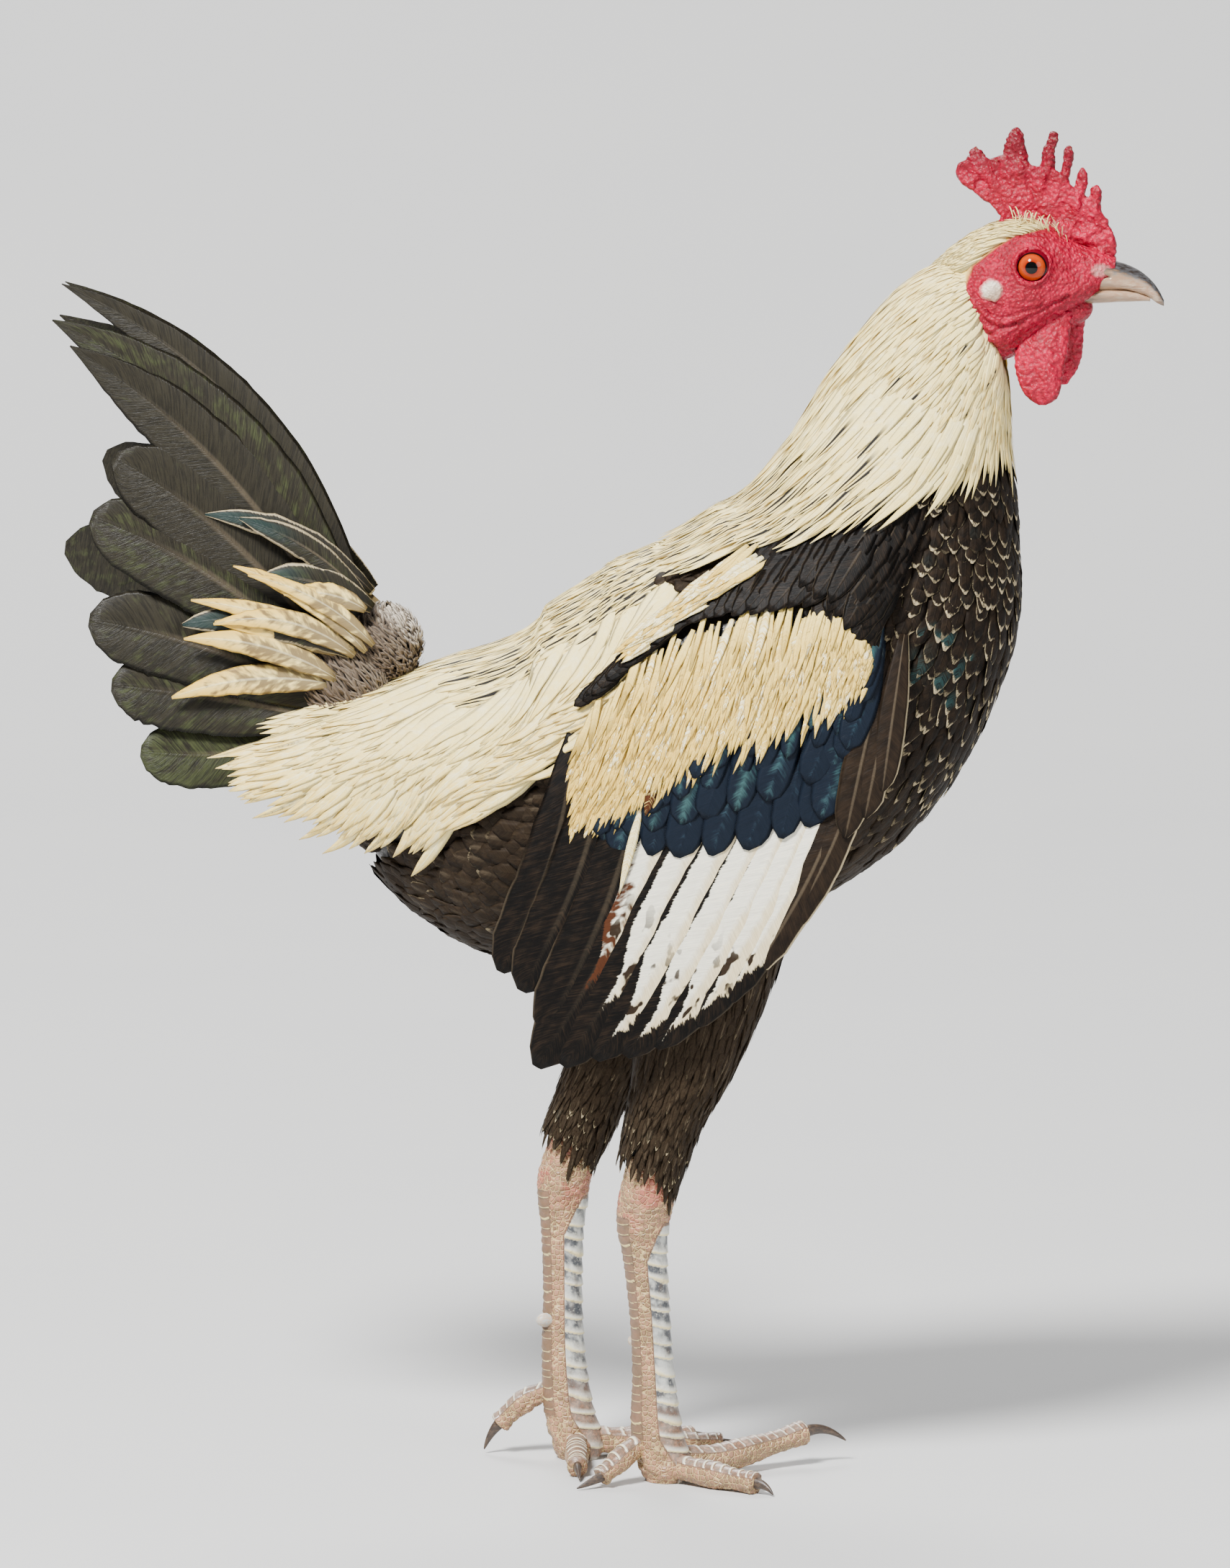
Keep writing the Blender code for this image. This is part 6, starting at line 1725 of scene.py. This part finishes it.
def claw_rings(line, tip, half):
    """A claw that curves down from the end of its toe."""
    before, start = along(line, np.linspace(0, 1, 7))[-2:]
    way = unit(start - before)
    start, tip = start - way * 0.8, np.array(tip, float)
    bend = start + way * np.linalg.norm(tip - start) * 0.5 + (0, 0, 0.8)
    angles = round_angles(24)
    rings = []
    for place in np.linspace(0, 1, 26):
        centre = (1 - place) ** 2 * start + 2 * place * (1 - place) * bend + place**2 * tip
        across, over = square_ways(unit((1 - place) * (bend - start) + place * (tip - bend)))
        size = half * (1 - place) ** 0.75 + 0.16
        ring = centre + size * (np.outer(0.8 * np.cos(angles), across) + np.outer(np.sin(angles), over))
        ring[:, 2] = np.maximum(ring[:, 2], 0.1)
        rings.append(ring)
    return np.array(rings)


def spur_rings(rows, side):
    """A young bird's spur, a rounded bud on the inner side of the shank's back."""
    z, x, y, _, _ = along(rows, 0.56)
    way = unit(np.array([-0.8, -0.6 * side, 0.05]))
    across, over = square_ways(way)
    angles = round_angles(28)
    ring = np.outer(np.cos(angles), across) + np.outer(np.sin(angles), over)
    return np.array([np.array([x, side * y, z]) + way * reach + ring * size
                     for reach, size in along(SPUR, np.linspace(0, 1, 24))])


def joined_lofts(name, parts):
    """One mesh of several closed lofts, each a grid with its plate and rim values."""
    rows, count = [], 0
    for grid, *marks in parts:
        points, corners, polygons = loft_arrays(grid)
        marks = (np.broadcast_to(mark, grid.shape[:2]).ravel() for mark in marks)
        rows.append((points, corners + count, polygons, *marks))
        count += len(points)
    points, corners, polygons, plates, rims = (np.concatenate(part) for part in zip(*rows))
    return faced(build_mesh(name, points, corners, polygons, values={"plate": plates, "rim": rims}))


def make_legs(look, sizes):
    """Shanks and toes as one skin each, with their claws and spurs."""
    for name, side in SIDES:
        toes = [toe for toe, *_ in TOES[name]]
        parts = [shank_arrays(SHANKS[name], side)]
        parts += [toe_arrays(line, first, last) for _, line, _, first, last in TOES[name]]
        nodes = [f"shank_{name}"] + [f"toe_{name}_{toe}" for toe in toes]
        new_piece(f"leg_{name}", joined_lofts(f"leg_{name}", parts), nodes, "leg_skin")
        claws = [(claw_rings(line, tip, last * 0.58), 0, 0) for _, line, tip, _, last in TOES[name]]
        nodes = [f"claw_{name}_{toe}" for toe in toes]
        new_piece(f"claws_{name}", joined_lofts(f"claws_{name}", claws), nodes, "claw_keratin")
        mesh = loft(f"spur_bud_{name}", spur_rings(SHANKS[name], side))
        new_piece(f"spur_bud_{name}", mesh, (f"spur_{name}",), "spur_horn")


CAMERA_TURN = 6.0  # degrees from square on, towards the bird's front
CAMERA_RISE = 8.0
CAMERA_AWAY = 3300.0
CAMERA_AIM = (0.0, 0.0, 178.0)
CAMERA_SHIFT = (2.6, 4.9)  # how far right of and above the aim the picture's middle lies
PICTURE_HEIGHT = 412.0  # what the picture's height covers at the bird
SENSOR = 24.0
# In metres: where the floor runs along y, the radius of its bend upwards, and how far both reach.
FLOOR_LINE, BEND, STAGE_REACH = (-5.0, -2.0, -0.7, 1.2), 1.6, 5.0
LIT_PLACE = (0, 0, 0.18)
SKY_COLOUR, SKY_STRENGTH = (0.86, 0.9, 1.0, 1), 0.27
LIGHTS = (  # name, place in metres, size in metres, watts
    ("key", (-0.7, -1.7, 2.3), 0.75, 235.0),
    ("fill", (1.9, -1.6, 1.0), 1.6, 24.0),
    ("rim", (-0.6, 1.7, 1.9), 1.2, 52.0),
)


def look_at(thing, target):
    """Turns a lamp or the camera towards a place."""
    thing.rotation_euler = (Vector(target) - thing.location).to_track_quat("-Z", "Y").to_euler()


def make_stage(look, sizes):
    """The floor that rises into a backdrop, soft lights and the camera at the photograph's angle."""
    bends = np.linspace(0, math.pi / 2, 24)[1:]
    line = [(y, 0.0) for y in FLOOR_LINE]
    line += [(FLOOR_LINE[-1] + BEND * math.sin(bend), BEND - BEND * math.cos(bend)) for bend in bends]
    line.append((FLOOR_LINE[-1] + BEND, STAGE_REACH))
    points = [(x, y, z) for y, z in line for x in (-STAGE_REACH, STAGE_REACH)]
    faces = [(2 * i, 2 * i + 1, 2 * i + 3, 2 * i + 2) for i in range(len(line) - 1)]
    mesh = bpy.data.meshes.new("studio_floor")
    mesh.from_pydata(points, [], faces)
    mesh.polygons.foreach_set("use_smooth", [True] * len(faces))
    mesh.materials.append(bpy.data.materials["studio_floor"])
    linked("studio_floor", mesh)
    for name, place, size, power in LIGHTS:
        light = bpy.data.lights.new(name, "AREA")
        light.shape = "DISK"
        light.size = size
        light.energy = power * sizes.light
        lamp = linked(name, light)
        lamp.location = place
        look_at(lamp, LIT_PLACE)
    world = bpy.data.worlds.new("studio")
    world.use_nodes = True
    sky = world.node_tree.nodes["Background"].inputs
    sky["Color"].default_value, sky["Strength"].default_value = SKY_COLOUR, SKY_STRENGTH
    bpy.context.scene.world = world
    turn, rise = math.radians(CAMERA_TURN), math.radians(CAMERA_RISE)
    away = Vector((math.sin(turn) * math.cos(rise), -math.cos(turn) * math.cos(rise), math.sin(rise)))
    right = Vector((math.cos(turn), math.sin(turn), 0))
    target = Vector(CAMERA_AIM) + right * CAMERA_SHIFT[0] + away.cross(right) * CAMERA_SHIFT[1]
    data = bpy.data.cameras.new("photo_angle")
    data.sensor_fit = "VERTICAL"
    data.sensor_height = SENSOR
    data.lens = SENSOR * CAMERA_AWAY / PICTURE_HEIGHT
    data.clip_end = 20
    camera = linked("photo_angle", data)
    camera.location = (target + away * CAMERA_AWAY) * MM
    look_at(camera, target * MM)
    bpy.context.scene.camera = camera


def colour(name, value, text):
    """A colour that the user may change."""
    return FloatVectorProperty(name=name, description=text, default=value, min=0, max=1, subtype="COLOR")


class BantamColours(bpy.types.PropertyGroup):
    """Colours of the bird and its stage."""

    cream: colour("Cream", (0.94, 0.77, 0.32), "Ground of the hackle and saddle feathers")
    straw: colour("Straw", (0.90, 0.68, 0.20), "Tips of the hackle and saddle feathers")
    gold: colour("Gold", (0.78, 0.49, 0.08), "Wing bow and tips of the saddle")
    white: colour("White", (0.98, 0.91, 0.60), "Palest parts of the hackle and the down")
    dark: colour("Dark", (0.0065, 0.0048, 0.0036), "Black of the breast and the shaft streaks")
    brown: colour("Brown", (0.026, 0.016, 0.009), "Brown cast in the black feathers")
    thigh: colour("Thigh", (0.036, 0.025, 0.014), "Thigh feathers")
    # Teal is painted sheen on the breast, the wing bar's glints and the tail coverts.
    teal: colour("Teal", (0.018, 0.070, 0.072), "Green-blue sheen")
    lace: colour("Lace", (0.68, 0.56, 0.34), "Edges of the breast feathers")
    drab: colour("Drab", (0.22, 0.17, 0.11), "Grey-brown shafts and streaks")
    night: colour("Night", (0.0022, 0.0018, 0.0015), "Blue-black of the wing and tail")
    navy: colour("Navy", (0.006, 0.010, 0.018), "Ground of the wing bar")
    tail: colour("Tail", (0.020, 0.017, 0.010), "Olive brown of the tail")
    # Umber is also the painted shadow line at the front edge of each white web.
    umber: colour("Umber", (0.10, 0.062, 0.036), "Brown of the down, the beak's base and dirt on the legs")
    # The pale scute colour is partly wear and partly painted shine on the scutes.
    scute_wear_and_shine: colour("Pale scute", (0.74, 0.72, 0.62), "Worn, shining parts of the scutes")
    ivory: colour("Ivory", (0.72, 0.58, 0.32), "Creamy front parts of the white webs")
    # Blue is the colour of the painted glints on the wing bar.
    blue: colour("Blue", (0.020, 0.055, 0.085), "Blue of the wing bar")
    web: colour("White web", (0.80, 0.77, 0.64), "Outer webs of the flight feathers")
    rust: colour("Rust", (0.065, 0.021, 0.008), "Rust spots of the wing")
    # Green is the colour of the tail's painted glints.
    green: colour("Green", (0.042, 0.050, 0.018), "Green of the tail")
    crimson: colour("Crimson", (0.33, 0.0, 0.018), "Comb, face and wattles")
    rose: colour("Rose", (0.48, 0.0, 0.034), "Paler red of the face")
    # Pink is a painted highlight on the tops of the skin's pebbles.
    pink: colour("Pink", (0.66, 0.02, 0.085), "Tops of the skin's pebbles")
    # Wine is also painted shade in the skin's folds and between its pebbles.
    wine: colour("Wine", (0.12, 0.0, 0.006), "Folds of the skin and tips of the comb")
    lobe: colour("Ear lobe", (0.80, 0.70, 0.56), "White ear lobe")
    amber: colour("Amber", (0.42, 0.045, 0.0), "Middle of the iris")
    ember: colour("Ember", (0.26, 0.014, 0.001), "Edge of the iris")
    pupil: colour("Pupil", (0.001, 0.001, 0.001), "Pupil and rim of the eye")
    # Horn is also the painted shade on the ear lobes' lower part.
    horn: colour("Horn", (0.34, 0.20, 0.115), "Sides of the beak")
    horn_pale: colour("Pale horn", (0.52, 0.39, 0.27), "Lightest streaks of the beak")
    slate: colour("Slate", (0.055, 0.060, 0.068), "Top of the beak and grey of the scutes")
    scute: colour("Scute", (0.46, 0.47, 0.44), "Scutes of the legs")
    shank_pink: colour("Shank pink", (0.42, 0.21, 0.115), "Soft skin of the legs")
    shank_brown: colour("Shank brown", (0.29, 0.165, 0.08), "Dull soft skin of the legs")
    claw: colour("Claw", (0.030, 0.020, 0.015), "Claws")
    floor: colour("Floor", (0.56, 0.56, 0.555), "Floor and backdrop")
    floor_warm: colour("Warm floor", (0.59, 0.585, 0.57), "Warmer cloud in the floor's grey")


def measure(name, value, least, text):
    """A number that the user may change, in millimetres where its text says so."""
    kind = IntProperty if isinstance(value, int) else FloatProperty
    return kind(name=name, description=text, default=value, min=least)


class BantamSizes(bpy.types.PropertyGroup):
    """Sizes of the feathers and how densely they lie."""

    body_step: measure("Body rows", 2.9, 2.0, "Millimetres between rows of body feathers")
    body_spacing: measure("Body spacing", 3.5, 2.0, "Millimetres between body feathers")
    body_length: measure("Body feather", 11.5, 5.0, "Length of a body feather in millimetres")
    hackle_step: measure("Hackle rows", 4.2, 2.0, "Millimetres between rows of the hackle")
    hackle_spacing: measure("Hackle spacing", 2.6, 1.0, "Millimetres between hackle feathers")
    saddle_step: measure("Saddle rows", 0.16, 0.05, "Rows of the saddle, as a share of a feather")
    saddle_count: measure("Saddle feathers", 58, 8, "Feathers in a saddle row on one side")
    bow_columns: measure("Bow columns", 72, 6, "Feathers along the wing bow")
    bow_rows: measure("Bow rows", 12, 2, "Rows of the wing bow")
    tail_coverts: measure("Tail coverts", 13, 4, "Coverts of the tail on one side")
    light: measure("Light", 1.0, 0.0, "Brightness of the studio lamps")


class BantamStep:
    """What the steps share: they build with the scene's own colours and sizes."""

    bl_options = {"REGISTER", "UNDO"}

    def execute(self, context):
        self.build(context.scene.bantam_colours, context.scene.bantam_sizes)
        return {"FINISHED"}


class MakeFinishes(BantamStep, bpy.types.Operator):
    """Makes every finish of the bird and the stage"""

    bl_idname = "bantam.finishes"
    bl_label = "Finishes"
    build = staticmethod(make_finishes)


class MakeSkin(BantamStep, bpy.types.Operator):
    """Builds the skin of the trunk, neck, head and thighs"""

    bl_idname = "bantam.skin"
    bl_label = "Skin"
    build = staticmethod(make_skin)


class MakeComb(BantamStep, bpy.types.Operator):
    """Builds the comb with its points, folds and pebbled skin"""

    bl_idname = "bantam.comb"
    bl_label = "Comb"
    build = staticmethod(make_comb)


class MakeWattles(BantamStep, bpy.types.Operator):
    """Builds both wattles"""

    bl_idname = "bantam.wattles"
    bl_label = "Wattles"
    build = staticmethod(make_wattles)


class MakeLobes(BantamStep, bpy.types.Operator):
    """Builds both ear lobes"""

    bl_idname = "bantam.lobes"
    bl_label = "Ear lobes"
    build = staticmethod(make_lobes)


class MakeEyes(BantamStep, bpy.types.Operator):
    """Builds both eyes behind their lids"""

    bl_idname = "bantam.eyes"
    bl_label = "Eyes"
    build = staticmethod(make_eyes)


class MakeBeak(BantamStep, bpy.types.Operator):
    """Builds both halves of the beak with the nostrils"""

    bl_idname = "bantam.beak"
    bl_label = "Beak"
    build = staticmethod(make_beak)


class MakeBreast(BantamStep, bpy.types.Operator):
    """Lays the feathers of breast, flanks and belly"""

    bl_idname = "bantam.breast"
    bl_label = "Breast"
    build = staticmethod(make_body_coat)


class MakeHackle(BantamStep, bpy.types.Operator):
    """Lays the long pointed feathers of the neck"""

    bl_idname = "bantam.hackle"
    bl_label = "Hackle"
    build = staticmethod(make_hackle)


class MakeSaddle(BantamStep, bpy.types.Operator):
    """Lays the long pointed feathers of back and saddle"""

    bl_idname = "bantam.saddle"
    bl_label = "Saddle"
    build = staticmethod(make_saddle_coat)


class MakeHeadCoat(BantamStep, bpy.types.Operator):
    """Lays the small feathers round the bare face"""

    bl_idname = "bantam.head_coat"
    bl_label = "Head feathers"
    build = staticmethod(make_head_coat)


class MakeWings(BantamStep, bpy.types.Operator):
    """Lays coverts, bow, bar and flight feathers of both wings"""

    bl_idname = "bantam.wings"
    bl_label = "Wings"
    build = staticmethod(make_wings)


class MakeTail(BantamStep, bpy.types.Operator):
    """Lays the tail feathers and their coverts"""

    bl_idname = "bantam.tail"
    bl_label = "Tail"
    build = staticmethod(make_tail)


class MakeDown(BantamStep, bpy.types.Operator):
    """Lays the pale down over the tail's root"""

    bl_idname = "bantam.down"
    bl_label = "Down"
    build = staticmethod(make_down)


class MakeThighs(BantamStep, bpy.types.Operator):
    """Lays the feathers of both thighs"""

    bl_idname = "bantam.thighs"
    bl_label = "Thighs"
    build = staticmethod(make_thigh_coat)


class MakeLegs(BantamStep, bpy.types.Operator):
    """Builds shanks, toes, claws and spurs"""

    bl_idname = "bantam.legs"
    bl_label = "Legs"
    build = staticmethod(make_legs)


class MakeStage(BantamStep, bpy.types.Operator):
    """Builds floor, lights and camera"""

    bl_idname = "bantam.stage"
    bl_label = "Stage"
    build = staticmethod(make_stage)


STEPS = (
    MakeFinishes, MakeSkin, MakeComb, MakeWattles, MakeLobes, MakeEyes, MakeBeak, MakeBreast, MakeHackle,
    MakeSaddle, MakeHeadCoat, MakeWings, MakeTail, MakeDown, MakeThighs, MakeLegs, MakeStage,
)


class BantamPanel(bpy.types.Panel):
    """Lists the steps, sizes and colours in the sidebar of the 3D view."""

    bl_idname = "VIEW3D_PT_bantam"
    bl_label = "Bantam"
    bl_space_type = "VIEW_3D"
    bl_region_type = "UI"
    bl_category = "Bantam"

    def draw(self, context):
        for step in STEPS:
            self.layout.operator(step.bl_idname)
        for group in (context.scene.bantam_sizes, context.scene.bantam_colours):
            for key in group.__annotations__:
                self.layout.prop(group, key)


def register():
    """Adds the steps, their colours and sizes, and the panel."""
    for item in (BantamColours, BantamSizes, *STEPS, BantamPanel):
        bpy.utils.register_class(item)
    bpy.types.Scene.bantam_colours = PointerProperty(type=BantamColours)
    bpy.types.Scene.bantam_sizes = PointerProperty(type=BantamSizes)


def unregister():
    """Takes all of them away again."""
    del bpy.types.Scene.bantam_sizes
    del bpy.types.Scene.bantam_colours
    for item in (BantamPanel, *reversed(STEPS), BantamSizes, BantamColours):
        bpy.utils.unregister_class(item)


def main():
    """Runs every step in turn."""
    register()
    for step in STEPS:
        getattr(bpy.ops.bantam, step.bl_idname.split(".")[1])()


if __name__ == "__main__":
    main()
